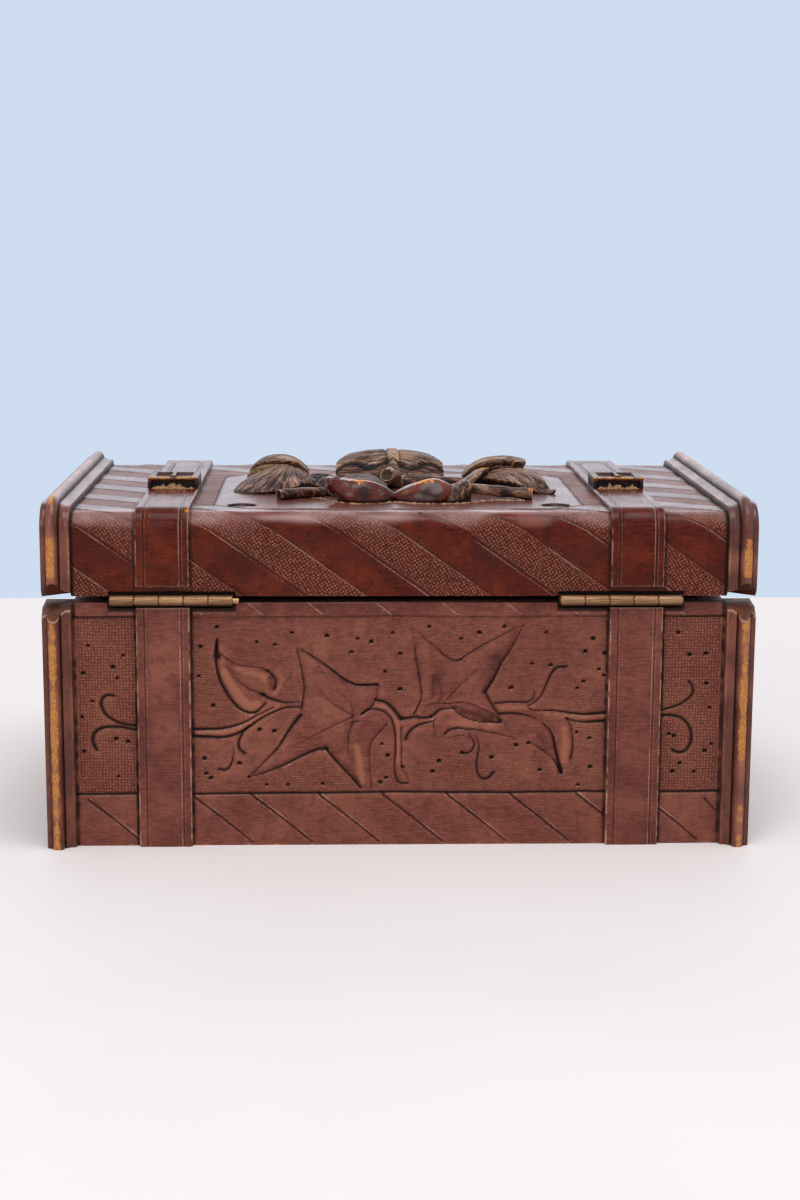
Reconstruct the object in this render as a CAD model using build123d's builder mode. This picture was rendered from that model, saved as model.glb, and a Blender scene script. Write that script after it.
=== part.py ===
from build123d import *
import math
import os

os.makedirs("parts", exist_ok=True)

# A carved wooden keepsake box in the form of a travelling trunk, in millimetres.
# X runs along the length, the hinges are on the -Y side, and the box stands on Z = 0.

# ---------------------------------------------------------------- driving dimensions
# case and lid
case_length = 214.0
case_depth = 138.0
case_height = 82.0
lid_height = 27.3
joint_gap = 2.3
wall = 8.0
base_thickness = 7.0
lid_edge_radius = 5.6

# moulding on the four corner posts and round both lid ends
moulding_width = 9.5
outer_band_width = 1.8
outer_band_proud = 3.1
bead_width = 4.2
bead_proud = 5.3
slope_width = 2.0
inner_band_proud = 1.8

# raised straps and their buckles
strap_from_end = 29.6
strap_width = 17.4
strap_proud = 1.6
strap_groove_inset = 3.0
strap_groove_width = 0.9
strap_groove_depth = 0.5
lid_strap_lift = 3.2
buckle_front = -20.0
buckle_length = 17.0
buckle_height = 3.9
buckle_rail = 2.2
buckle_side_rail = 2.0
buckle_cheek = 1.0
buckle_roof = 0.9
buckle_edge_radius = 0.5
prong_width = 1.6
prong_height = 0.8
prong_lap = 1.7
prong_point = 0.7

# carved faces
ground_depth = 1.0
top_border = 4.6
bottom_border = 17.8
field_margin = 2.0
stem_width = 2.4

# hinges
hinge_left_from_end = 32.5
hinge_right_from_end = 34.8
hinge_length = 40.0
hinge_knuckles = 5
hinge_leaves = 2
hinge_axis_out = 2.0
knuckle_radius = 1.75
knuckle_gap = 0.12
barrel_clearance = 0.25
leaf_thickness = 1.0
leaf_reach = 6.6
leaf_setback = 0.1
pin_radius = 0.9
pin_clearance = 0.05
pin_tips = (1.9, 0.15)
seat_margin = 0.6
seat_depth_case = 1.4
seat_depth_lid = 1.7
seat_reach = 1.3
screw_spacing = 14.0
screw_head_radius = 2.1
screw_shank_radius = 1.1
screw_length = 7.0
screw_facets = 10
screw_head_angle = 90.0

# small pieces
plug_from_end = 54.8
plug_from_back = 18.5
plug_radius = 4.5
plug_length = 4.0
plug_sink = 0.4
rest_pad_from_end = 19.0
rest_pad_size = 5.2
rest_pad_clearance = 0.1

# applied carving on the lid: sections of the nuts, their cup and the twigs are (place, radius)
nut_line_y = -37.8
nut_axis_rise = 1.0
nut_left_sections = ((-23.4, 2.4), (-20.6, 5.2), (-15.0, 7.0), (-9.0, 6.6), (-4.2, 4.4), (-0.6, 2.0))
nut_right_sections = ((-0.3, 2.0), (3.6, 4.5), (8.2, 6.7), (12.6, 7.0), (17.6, 5.7))
cup_sections = ((17.6, 7.4), (21.0, 6.3), (25.2, 4.5))
nut_facets = 9
twig_facets = 8
twig_left_ends = ((-40.0, -37.5, 1.7), (-26.0, -29.5, 1.9))
twig_left_radii = (1.9, 1.6)
twig_right_ends = ((45.0, -32.0, 1.7), (26.0, -36.5, 2.1))
twig_right_radii = (1.9, 2.1)
twig_stub_ends = ((-3.0, -13.0, 5.4), (-1.5, -5.0, 2.4))
twig_stub_radii = (2.9, 3.9)
twig_low_ends = ((2.6, -7.0, 2.2), (23.5, -5.0, 2.0))
twig_low_radii = (2.4, 1.8)

# each leaf: its outline from above, and the vaults that arch over the lid within it, each given as
# (start of crest, end of crest, half span, heights evenly along the crest)
vault_section = ((-1.0, 0.0), (-0.86, 0.5), (-0.5, 0.86), (0.0, 1.0), (0.5, 0.86), (0.86, 0.5), (1.0, 0.0))
leaf_left_outline = (
    (-57.0, -14.0), (-51.5, -22.5), (-46.0, -23.5), (-38.5, -21.0), (-33.0, -21.5), (-31.0, -13.0),
    (-32.4, -5.0), (-30.8, 4.0), (-36.5, 17.0), (-43.0, 19.0), (-50.0, 16.5), (-55.0, 7.0), (-53.4, -2.0),
)
leaf_left_hood = ((-43.0, -2.0), (-43.0, 20.0), 14.5, (8.6, 9.8, 9.4, 7.4, 3.2))
leaf_left_hollow = ((-42.5, -3.0), (-42.5, 5.0), 11.4, (7.6, 7.0, 4.4))
leaf_left_lobes = (((-29.0, -12.5), (-58.5, -12.5), 15.5, (4.6, 6.2, 6.8, 5.0, 1.6)),)
leaf_centre_outline = (
    (-19.4, 7.0), (-14.0, 4.5), (-9.0, 6.5), (-1.6, 3.5), (6.0, 6.5), (11.5, 4.5), (16.2, 7.0), (17.0, 13.0),
    (11.0, 26.0), (7.5, 29.0), (-1.6, 38.0), (-10.5, 29.0), (-14.0, 26.0), (-20.2, 13.0),
)
leaf_centre_hood = ((-1.6, 2.0), (-1.6, 40.0), 21.5, (8.4, 10.8, 10.2, 7.6, 1.4))
leaf_centre_hollow = ((-1.6, 2.0), (-1.6, 11.0), 17.0, (6.4, 5.8, 2.6))
midrib_half_width = 2.3
midrib_groove = 0.9
leaf_right_outline = (
    (54.5, -19.5), (53.0, -22.5), (46.5, -20.5), (41.0, -22.0), (34.5, -15.5), (29.5, -11.0), (26.5, -1.6),
    (26.5, 4.5), (30.0, 12.0), (36.0, 16.5), (43.5, 15.0), (54.0, 8.5), (51.5, -4.0), (53.5, -13.0),
)
leaf_right_hood = ((36.5, -3.0), (36.5, 17.5), 13.5, (8.6, 9.8, 9.2, 7.0, 3.2))
leaf_right_hollow = ((40.0, -4.0), (40.0, 3.5), 8.0, (7.4, 6.4, 3.6))
leaf_right_lobes = (
    ((26.0, 1.0), (57.0, -20.5), 11.5, (3.6, 4.8, 5.4, 4.0, 1.2)),
    ((38.0, -12.0), (48.0, -24.0), 9.5, (3.4, 4.4, 1.6)),
    ((37.0, 4.5), (57.0, 4.5), 8.0, (5.2, 4.6, 1.4)),
)
bud_outline = ((18.0, -17.5), (22.5, -19.5), (27.0, -17.0), (33.0, -7.5), (24.0, -8.0), (19.0, -12.0))
bud_hood = ((17.0, -17.5), (33.5, -8.0), 8.0, (4.4, 6.2, 3.4))
bract_outline = (
    (-33.5, -19.0), (-28.0, -25.5), (-20.5, -28.0), (-18.5, -23.0), (-19.5, -14.0), (-22.5, -7.0),
    (-29.5, -6.5), (-33.5, -11.0),
)
bract_hood = ((-17.5, -22.0), (-34.0, -11.0), 12.5, (5.6, 6.6, 3.6))
far_nut_outline = (
    (-20.5, -27.0), (-12.0, -30.5), (-5.5, -27.0), (-3.5, -18.0), (-7.5, -9.5), (-14.0, -7.0), (-20.0, -12.0),
)
far_nut_hood = ((-23.0, -18.5), (-2.0, -18.5), 14.0, (5.2, 6.9, 7.2, 6.2, 4.4))

# ---------------------------------------------------------------- derived places
half_length = case_length / 2
half_depth = case_depth / 2
strap_offset = half_length - strap_from_end
hinge_centres = (hinge_left_from_end - half_length, half_length - hinge_right_from_end)
plug_offset = half_length - plug_from_end
rest_pad_offset = half_length - rest_pad_from_end
overall_half_length = half_length + moulding_width
lid_base_z = case_height + joint_gap
lid_top_z = lid_base_z + lid_height
board_base_z = lid_top_z - wall
strap_top_z = lid_top_z + strap_proud
hinge_axis_y = -half_depth - hinge_axis_out
hinge_axis_z = case_height + joint_gap / 2
cut_margin = 1.0

back_face = Plane(origin=(0, -half_depth, 0), x_dir=(1, 0, 0), z_dir=(0, -1, 0))
front_face = Plane(origin=(0, half_depth, 0), x_dir=(-1, 0, 0), z_dir=(0, 1, 0))
lid_plane = Plane.XY.offset(lid_top_z)


def finish(piece, name):
    """Label a finished piece and write it."""
    piece.part.label = name
    export_step(piece.part, f"parts/{name}.step")


def board(x_range, y_range, z_range):
    """A plain square-edged board between three pairs of faces."""
    with BuildPart() as piece:
        with BuildSketch(Plane.XY.offset(z_range[0])):
            with Locations(((x_range[0] + x_range[1]) / 2, (y_range[0] + y_range[1]) / 2)):
                Rectangle(x_range[1] - x_range[0], y_range[1] - y_range[0])
        extrude(amount=z_range[1] - z_range[0])
    return piece


def mirrored(piece, plane):
    """The same piece, handed the other way."""
    with BuildPart() as other:
        mirror(piece.part, about=plane)
    return other


# ---------------------------------------------------------------- carved relief of the long faces
# Outlines are in the plane of the face: x from its middle, height above the table.
big_leaf_left = [
    (-33.5, 66.5), (-24.5, 60.5), (-14.5, 54.0), (-7.0, 54.5), (-7.5, 49.5), (-12.0, 44.8),
    (-3.5, 42.0), (-9.8, 33.0), (-9.5, 19.5), (-12.5, 19.5), (-25.0, 32.8), (-50.0, 23.0),
    (-38.0, 36.5), (-31.8, 45.5),
]
big_leaf_right = [
    (3.5, 73.0), (18.5, 62.5), (40.0, 73.5), (28.5, 52.5), (33.5, 41.5), (26.0, 42.0),
    (14.0, 46.2), (8.0, 42.5), (4.5, 43.5), (7.0, 48.5),
]
folded_leaf = [(11.0, 43.0), (11.5, 38.0), (18.5, 39.0), (26.0, 39.0), (37.5, 36.5), (34.0, 43.0)]
curled_leaf_left = [
    (-60.0, 69.5), (-61.0, 64.0), (-59.0, 54.5), (-53.0, 46.5), (-48.5, 45.0), (-43.5, 48.0),
    (-40.5, 53.5), (-43.5, 59.5), (-52.5, 61.5), (-58.5, 65.0),
]
curled_leaf_right = [
    (43.5, 35.0), (45.5, 41.5), (51.5, 43.5), (56.5, 40.0), (57.5, 34.5), (55.5, 27.5),
    (54.0, 23.5), (51.0, 29.5),
]
vine_stem = [(-66.0, 39.0), (-53.0, 40.0), (-43.0, 45.0), (-32.0, 48.0)]
vine_stem_middle = [(-12.5, 45.0), (-6.5, 47.0), (0.0, 43.4), (12.0, 43.0)]
vine_stem_right = [(30.0, 46.2), (46.0, 45.2), (58.0, 43.4), (66.0, 43.4)]
vine_spur = [(-1.5, 43.0), (-0.4, 30.5), (2.0, 21.5)]

# the three fields of a long face: between the ends and the straps, and between the straps
field_height = case_height - top_border - bottom_border
field_middle_z = bottom_border + field_height / 2
strap_inner_x = strap_offset - strap_width / 2
strap_outer_x = strap_offset + strap_width / 2
side_field_width = half_length - field_margin - strap_outer_x
side_field_x = strap_outer_x + side_field_width / 2


def vine(face):
    """The standing parts of the vine, kept inside the middle field."""
    with BuildSketch(face) as relief:
        for outline in (big_leaf_left, big_leaf_right, folded_leaf, curled_leaf_left, curled_leaf_right):
            with BuildLine():
                Polyline(*outline, close=True)
            make_face()
        for path in (vine_stem, vine_stem_middle, vine_stem_right, vine_spur):
            with BuildLine() as centre_line:
                Polyline(*path)
            trace(centre_line.line, line_width=stem_width)
        with Locations((0, field_middle_z)):
            Rectangle(2 * strap_inner_x, field_height, mode=Mode.INTERSECT)
    return relief


def long_panel(face):
    """A long wall with its ground cut back round the vine, leaving borders and strap beds."""
    relief = vine(face)
    with BuildPart() as panel:
        with BuildSketch(face):
            with Locations((0, case_height / 2)):
                Rectangle(case_length, case_height)
        extrude(amount=-wall)
        with BuildSketch(face):
            with Locations((0, field_middle_z)):
                Rectangle(2 * strap_inner_x, field_height)
            add(relief.sketch_local, mode=Mode.SUBTRACT)
            with Locations((-side_field_x, field_middle_z), (side_field_x, field_middle_z)):
                Rectangle(side_field_width, field_height)
        extrude(amount=-ground_depth, mode=Mode.SUBTRACT)
    return panel


def hinge_seat(base_z, height):
    """The blocks of wood that the hinge barrels sink into, cut from a wall or rail."""
    with BuildPart() as seat:
        with BuildSketch(Plane.XY.offset(base_z)):
            for x in hinge_centres:
                with Locations((x, -half_depth - strap_proud)):
                    Rectangle(hinge_length + 2 * seat_margin, 2 * (seat_reach + strap_proud))
        extrude(amount=height)
    return seat


def hinge_screws(head_z, points_down):
    """Countersunk screws of both hinges, heads flush with the leaf at head_z."""
    with BuildPart() as one:
        with BuildSketch():
            RegularPolygon(screw_head_radius, screw_facets)
        extrude(amount=leaf_thickness, taper=screw_head_angle / 2)
        with BuildSketch():
            RegularPolygon(screw_shank_radius, screw_facets)
        extrude(amount=screw_length)
    if points_down:
        one = mirrored(one, Plane.XY)
    with BuildPart() as screws:
        for x in hinge_centres:
            for step in (-1, 0, 1):
                add(Pos(x + step * screw_spacing, screw_line_y, head_z) * one.part)
    return screws


screw_line_y = -half_depth + (wall + leaf_setback) / 2
case_seat = hinge_seat(case_height - seat_depth_case, seat_depth_case + cut_margin)
lid_seat = hinge_seat(lid_base_z - cut_margin, seat_depth_lid + cut_margin)
case_screws = hinge_screws(case_height + leaf_thickness, True)
lid_screws = hinge_screws(lid_base_z - leaf_thickness, False)

# ---------------------------------------------------------------- case
base_board = board(
    (-half_length + wall, half_length - wall),
    (-half_depth + wall, half_depth - wall),
    (0, base_thickness),
)
finish(base_board, "base_board")

back_panel = long_panel(back_face)
with back_panel:
    add(case_seat.part, mode=Mode.SUBTRACT)
    add(case_screws.part, mode=Mode.SUBTRACT)
finish(back_panel, "back_panel")

front_panel = long_panel(front_face)
finish(front_panel, "front_panel")


def end_panel(side):
    """A short wall between the long ones, with a sunk field on its outer face."""
    face = Plane(origin=(side * half_length, 0, 0), x_dir=(0, side, 0), z_dir=(side, 0, 0))
    inner_depth = case_depth - 2 * wall
    with BuildPart() as panel:
        with BuildSketch(face):
            with Locations((0, case_height / 2)):
                Rectangle(inner_depth, case_height)
        extrude(amount=-wall)
        with BuildSketch(face):
            with Locations((0, field_middle_z)):
                Rectangle(inner_depth - 2 * field_margin, field_height)
        extrude(amount=-ground_depth, mode=Mode.SUBTRACT)
    return panel


finish(end_panel(-1), "end_panel_left")
finish(end_panel(1), "end_panel_right")

# ---------------------------------------------------------------- end mouldings
bead_start = outer_band_width
bead_end = bead_start + bead_width
slope_end = bead_end + slope_width


def moulding_section(plane):
    """Outer band, bead, slope and inner band, standing proud of the wall face. Local x runs inwards."""
    with BuildSketch(plane) as section:
        with BuildLine():
            Polyline(
                (bead_start, outer_band_proud),
                (0, outer_band_proud),
                (0, 0),
                (moulding_width, 0),
                (moulding_width, inner_band_proud),
                (slope_end, inner_band_proud),
                (bead_end, outer_band_proud),
            )
            ThreePointArc(
                (bead_end, outer_band_proud),
                ((bead_start + bead_end) / 2, bead_proud),
                (bead_start, outer_band_proud),
            )
        make_face()
    return section


def end_bevel(z, direction):
    """The wedge that bevels a moulding at 45 degrees where case and lid meet, on both sides."""
    reach = bead_proud + cut_margin
    with BuildPart() as wedge:
        with BuildSketch(Plane.YZ.offset(-overall_half_length - cut_margin)):
            with BuildLine():
                Polyline(
                    (-half_depth, z),
                    (-half_depth - reach, z),
                    (-half_depth - reach, z + direction * reach),
                    close=True,
                )
            make_face()
            mirror(about=Plane.XZ)
        extrude(amount=2 * (overall_half_length + cut_margin))
    return wedge


post_bevel = end_bevel(case_height, -1)
lid_bevel = end_bevel(lid_base_z, 1)

post_plane = Plane(origin=(-overall_half_length, -half_depth, 0), x_dir=(1, 0, 0), z_dir=(0, 0, -1))
post_section = moulding_section(post_plane)
with BuildPart() as post_back_left:
    add(post_section.sketch)
    extrude(amount=case_height, dir=(0, 0, 1))
    with BuildSketch(post_plane):
        with Locations((moulding_width / 2, -wall / 2)):
            Rectangle(moulding_width, wall)
    extrude(amount=case_height, dir=(0, 0, 1))
    add(post_bevel.part, mode=Mode.SUBTRACT)
post_back_right = mirrored(post_back_left, Plane.YZ)
finish(post_back_left, "post_back_left")
finish(post_back_right, "post_back_right")
finish(mirrored(post_back_left, Plane.XZ), "post_front_left")
finish(mirrored(post_back_right, Plane.XZ), "post_front_right")

with BuildPart() as lid_moulding_left:
    with BuildSketch(Plane.YZ.offset(-overall_half_length)):
        with BuildLine():
            FilletPolyline(
                (-half_depth, lid_base_z),
                (-half_depth, lid_top_z),
                (half_depth, lid_top_z),
                (half_depth, lid_base_z),
                radius=lid_edge_radius,
            )
            Polyline(
                (half_depth, lid_base_z),
                (half_depth - wall, lid_base_z),
                (half_depth - wall, board_base_z),
                (-half_depth + wall, board_base_z),
                (-half_depth + wall, lid_base_z),
                (-half_depth, lid_base_z),
            )
        make_face()
    extrude(amount=moulding_width)
    with BuildLine(Plane.YZ.offset(-overall_half_length)) as lid_edge_path:
        FilletPolyline(
            (-half_depth, lid_base_z),
            (-half_depth, lid_top_z),
            (half_depth, lid_top_z),
            (half_depth, lid_base_z),
            radius=lid_edge_radius,
        )
    lid_moulding_section = moulding_section(
        Plane(origin=(-overall_half_length, -half_depth, lid_base_z), x_dir=(1, 0, 0), z_dir=(0, 0, -1))
    )
    sweep(sections=lid_moulding_section.sketch, path=lid_edge_path.line)
    add(lid_bevel.part, mode=Mode.SUBTRACT)
finish(lid_moulding_left, "lid_moulding_left")
finish(mirrored(lid_moulding_left, Plane.YZ), "lid_moulding_right")


# ---------------------------------------------------------------- straps
def strap_section(plane):
    """A flat strap with a groove cut along each edge. Local x runs across the strap."""
    half = strap_width / 2
    groove = half - strap_groove_inset
    with BuildSketch(plane) as section:
        with Locations((0, strap_proud / 2)):
            Rectangle(strap_width, strap_proud)
        for x in (-groove, groove):
            with BuildLine():
                Polyline(
                    (x - strap_groove_width / 2, strap_proud),
                    (x, strap_proud - strap_groove_depth),
                    (x + strap_groove_width / 2, strap_proud),
                    close=True,
                )
            make_face(mode=Mode.SUBTRACT)
    return section


def case_strap(x):
    """A strap up the back of the case, stopping under the hinge barrel."""
    plane = Plane(origin=(x, -half_depth, 0), x_dir=(1, 0, 0), z_dir=(0, 0, -1))
    section = strap_section(plane)
    with BuildPart() as strap:
        add(section.sketch)
        extrude(amount=case_height - seat_depth_case, dir=(0, 0, 1))
    return strap


def lid_strap(x):
    """A strap up the back of the lid, over its top and down the front."""
    start_z = lid_base_z + lid_strap_lift
    section = strap_section(Plane(origin=(x, -half_depth, start_z), x_dir=(1, 0, 0), z_dir=(0, 0, -1)))
    with BuildPart() as strap:
        with BuildLine(Plane.YZ.offset(x)) as path:
            FilletPolyline(
                (-half_depth, start_z),
                (-half_depth, lid_top_z),
                (half_depth, lid_top_z),
                (half_depth, start_z),
                radius=lid_edge_radius,
            )
        sweep(sections=section.sketch, path=path.line)
    return strap


def buckle(x):
    """A square loop standing on the strap, open underneath for the strap's tongue and open on top."""
    middle_y = buckle_front + buckle_length / 2
    tunnel_height = buckle_height - buckle_roof
    with BuildPart() as loop:
        with BuildSketch(Plane.XY.offset(strap_top_z)):
            with Locations((x, middle_y)):
                Rectangle(strap_width, buckle_length)
        extrude(amount=buckle_height)
        fillet(loop.edges().group_by(Axis.Z)[-1].filter_by(Axis.X), radius=buckle_edge_radius)
        with BuildSketch(Plane.XY.offset(strap_top_z)):
            with Locations((x, middle_y)):
                Rectangle(strap_width - 2 * buckle_cheek, buckle_length)
        extrude(amount=tunnel_height, mode=Mode.SUBTRACT)
        with BuildSketch(Plane.XY.offset(strap_top_z)):
            with Locations((x, middle_y)):
                Rectangle(strap_width - 2 * buckle_side_rail, buckle_length - 2 * buckle_rail)
        extrude(amount=buckle_height, mode=Mode.SUBTRACT)
    return loop


def prong(x):
    """The buckle's tongue pin, lying across the window on both rails, with a pointed tip in front."""
    rail_z = strap_top_z + buckle_height
    start_y = buckle_front + buckle_rail - prong_lap
    end_y = buckle_front + buckle_length - buckle_rail + prong_lap
    with BuildPart() as pin:
        with BuildSketch(Plane.XY.offset(rail_z)):
            with Locations((x, (start_y + end_y) / 2)):
                Rectangle(prong_width, end_y - start_y)
        extrude(amount=prong_height)
        chamfer(pin.edges().filter_by(Axis.Z).group_by(Axis.Y)[0], length=prong_point)
    return pin


for side, x in (("left", -strap_offset), ("right", strap_offset)):
    back_strap = case_strap(x)
    finish(back_strap, f"case_strap_back_{side}")
    finish(mirrored(back_strap, Plane.XZ), f"case_strap_front_{side}")
    finish(lid_strap(x), f"lid_strap_{side}")
    finish(buckle(x), f"buckle_{side}")
    finish(prong(x), f"buckle_prong_{side}")

# ---------------------------------------------------------------- lid
plug_places = [(side * plug_offset, -half_depth + plug_from_back) for side in (-1, 1)]

with BuildPart() as lid_board:
    with BuildSketch(Plane.YZ.offset(-half_length)):
        with BuildLine():
            FilletPolyline(
                (-half_depth, board_base_z),
                (-half_depth, lid_top_z),
                (half_depth, lid_top_z),
                (half_depth, board_base_z),
                radius=lid_edge_radius,
            )
            Line((half_depth, board_base_z), (-half_depth, board_base_z))
        make_face()
    extrude(amount=case_length)
    with BuildSketch(lid_plane):
        with Locations(*plug_places):
            Circle(plug_radius)
    extrude(amount=-plug_sink - plug_length, mode=Mode.SUBTRACT)
finish(lid_board, "lid_board")

with BuildPart() as lid_plugs:
    with BuildSketch(lid_plane.offset(-plug_sink)):
        with Locations(*plug_places):
            Circle(plug_radius)
    extrude(amount=-plug_length)
finish(lid_plugs, "lid_plugs")

rail_heights = (lid_base_z, board_base_z)
lid_back_rail = board((-half_length, half_length), (-half_depth, -half_depth + wall), rail_heights)
with lid_back_rail:
    add(lid_seat.part, mode=Mode.SUBTRACT)
    add(lid_screws.part, mode=Mode.SUBTRACT)
finish(lid_back_rail, "lid_back_rail")

lid_front_rail = board((-half_length, half_length), (half_depth - wall, half_depth), rail_heights)
finish(lid_front_rail, "lid_front_rail")

for name, start_x in (("lid_end_left", -half_length), ("lid_end_right", half_length - wall)):
    lid_end = board(
        (start_x, start_x + wall),
        (-half_depth + wall, half_depth - wall),
        rail_heights,
    )
    finish(lid_end, name)

with BuildPart() as lid_rest_pads:
    with BuildSketch(Plane.XY.offset(case_height)):
        with Locations((-rest_pad_offset, half_depth - wall / 2), (rest_pad_offset, half_depth - wall / 2)):
            Rectangle(rest_pad_size, rest_pad_size)
    extrude(amount=joint_gap - rest_pad_clearance)
finish(lid_rest_pads, "lid_rest_pads")

# ---------------------------------------------------------------- hinges
knuckle_pitch = hinge_length / hinge_knuckles


def hinge_leaf(x, plate_z, first_knuckle, screws):
    """A leaf with every second knuckle of the barrel, from first_knuckle on."""
    barrel_start = x - hinge_length / 2
    knuckle_length = knuckle_pitch - knuckle_gap
    plate_outer_y = hinge_axis_y + knuckle_radius + barrel_clearance
    plate_inner_y = -half_depth + leaf_reach
    knuckle_numbers = range(first_knuckle, hinge_knuckles, hinge_leaves)
    knuckle_xs = [barrel_start + number * knuckle_pitch + knuckle_pitch / 2 for number in knuckle_numbers]
    with BuildPart() as leaf:
        with BuildSketch(Plane.XY.offset(plate_z)):
            with Locations((x, (plate_outer_y + plate_inner_y) / 2)):
                Rectangle(hinge_length, plate_inner_y - plate_outer_y)
            for knuckle_x in knuckle_xs:
                with Locations((knuckle_x, (hinge_axis_y + plate_outer_y) / 2)):
                    Rectangle(knuckle_length, plate_outer_y - hinge_axis_y)
        extrude(amount=leaf_thickness)
        for knuckle_x in knuckle_xs:
            knuckle_face = Plane(
                origin=(knuckle_x - knuckle_length / 2, hinge_axis_y, hinge_axis_z), z_dir=(1, 0, 0)
            )
            with BuildSketch(knuckle_face):
                Circle(knuckle_radius)
            extrude(amount=knuckle_length)
        bore_face = Plane(origin=(barrel_start - cut_margin, hinge_axis_y, hinge_axis_z), z_dir=(1, 0, 0))
        with BuildSketch(bore_face):
            Circle(pin_radius + pin_clearance)
        extrude(amount=hinge_length + 2 * cut_margin, mode=Mode.SUBTRACT)
        add(screws.part, mode=Mode.SUBTRACT)
    return leaf


def hinge_pin(x, tip):
    """The pin, a little proud of the barrel at its right end."""
    start = Plane(origin=(x - hinge_length / 2, hinge_axis_y, hinge_axis_z), z_dir=(1, 0, 0))
    with BuildPart() as pin:
        with BuildSketch(start):
            Circle(pin_radius)
        extrude(amount=hinge_length + tip)
    return pin


for side, x, tip in zip(("left", "right"), hinge_centres, pin_tips):
    finish(hinge_leaf(x, case_height, 0, case_screws), f"hinge_case_leaf_{side}")
    finish(hinge_leaf(x, lid_base_z - leaf_thickness, 1, lid_screws), f"hinge_lid_leaf_{side}")
    finish(hinge_pin(x, tip), f"hinge_pin_{side}")
finish(case_screws, "hinge_case_screws")
finish(lid_screws, "hinge_lid_screws")


# ---------------------------------------------------------------- applied carving
below_lid_top = board((-half_length, half_length), (-half_depth, half_depth), (lid_base_z, lid_top_z))


def stump(near_radius, far_radius, height, facets):
    """A many-sided pyramid stump standing on Z = 0, with flat sides."""
    wide, narrow = max(near_radius, far_radius), min(near_radius, far_radius)
    lean = math.degrees(math.atan2((wide - narrow) * math.cos(math.pi / facets), height))
    with BuildPart() as body:
        with BuildSketch():
            RegularPolygon(wide, facets)
        extrude(amount=height, taper=lean)
    return body if wide == near_radius else mirrored(body, Plane.XY.offset(height / 2))


def faceted(axis, sections, facets):
    """Stumps end to end along the normal of a plane, their ends given as (distance, radius)."""
    with BuildPart() as body:
        for (near, near_radius), (far, far_radius) in zip(sections, sections[1:]):
            piece = stump(near_radius, far_radius, far - near, facets)
            add(axis.offset(near).location * piece.part)
    return body


def seated(body):
    """A body cut off where it meets the top of the lid."""
    with BuildPart() as piece:
        add(body.part)
        add(below_lid_top.part, mode=Mode.SUBTRACT)
    return piece


def nut(sections):
    """A nut or its cup, lying along X."""
    axis = Plane(origin=(0, nut_line_y, lid_top_z + nut_axis_rise), z_dir=(1, 0, 0))
    return seated(faceted(axis, sections, nut_facets))


def twig(ends, radii):
    """A tapered stick between two points above the lid."""
    start, end = (Vector(x, y, lid_top_z + rise) for x, y, rise in ends)
    run = end - start
    sections = tuple(zip((0, run.length), radii))
    return seated(faceted(Plane(origin=start, z_dir=run), sections, twig_facets))


def vault(start, end, half_span, crests):
    """An arch over a line on the lid, as high along the line as the crest heights say."""
    run = Vector(end[0] - start[0], end[1] - start[1], 0)
    across = Vector(-run.Y, run.X, 0)
    origin = (start[0], start[1], lid_top_z)
    step = run.length / (len(crests) - 1)
    with BuildPart() as arch:
        with BuildSketch(Plane(origin=origin, x_dir=across, z_dir=run)):
            with BuildLine():
                Polyline(*((half_span * x, max(crests) * z) for x, z in vault_section), close=True)
            make_face()
        extrude(amount=run.length)
        with BuildSketch(Plane(origin=origin, x_dir=run, z_dir=-across)):
            with BuildLine():
                crest_line = [(number * step, z) for number, z in enumerate(crests)]
                Polyline((0, 0), *crest_line, (run.length, 0), close=True)
            make_face()
        extrude(amount=half_span, both=True, mode=Mode.INTERSECT)
    return arch


def leaf(outline, hood, hollow=None, lobes=(), neighbours=()):
    """A carved leaf: a hood hollowed under its edge and lobes, cut to the outline, clear of neighbours."""
    with BuildPart() as piece:
        add(vault(*hood).part)
        if hollow:
            add(vault(*hollow).part, mode=Mode.SUBTRACT)
        for lobe in lobes:
            add(vault(*lobe).part)
        with BuildSketch(lid_plane):
            with BuildLine():
                Polyline(*outline, close=True)
            make_face()
        extrude(amount=case_height, mode=Mode.INTERSECT)
        for neighbour in neighbours:
            add(neighbour.part, mode=Mode.SUBTRACT)
    return piece


finish(nut(nut_left_sections), "carving_nut_left")
finish(nut(nut_right_sections), "carving_nut_right")
finish(nut(cup_sections), "carving_husk_right")

twig_stub = twig(twig_stub_ends, twig_stub_radii)
with BuildPart() as twig_low:
    add(twig(twig_low_ends, twig_low_radii).part)
    add(twig_stub.part, mode=Mode.SUBTRACT)
finish(twig(twig_left_ends, twig_left_radii), "carving_twig_left")
finish(twig(twig_right_ends, twig_right_radii), "carving_twig_right")
finish(twig_stub, "carving_twig_stub")
finish(twig_low, "carving_twig_low")

leaf_left = leaf(leaf_left_outline, leaf_left_hood, leaf_left_hollow, leaf_left_lobes)
leaf_right = leaf(leaf_right_outline, leaf_right_hood, leaf_right_hollow, leaf_right_lobes, (twig_low,))
finish(leaf_left, "carving_leaf_left")
finish(leaf_right, "carving_leaf_right")
finish(leaf(bud_outline, bud_hood, neighbours=(leaf_right, twig_low)), "carving_bud_leaf")

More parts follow.
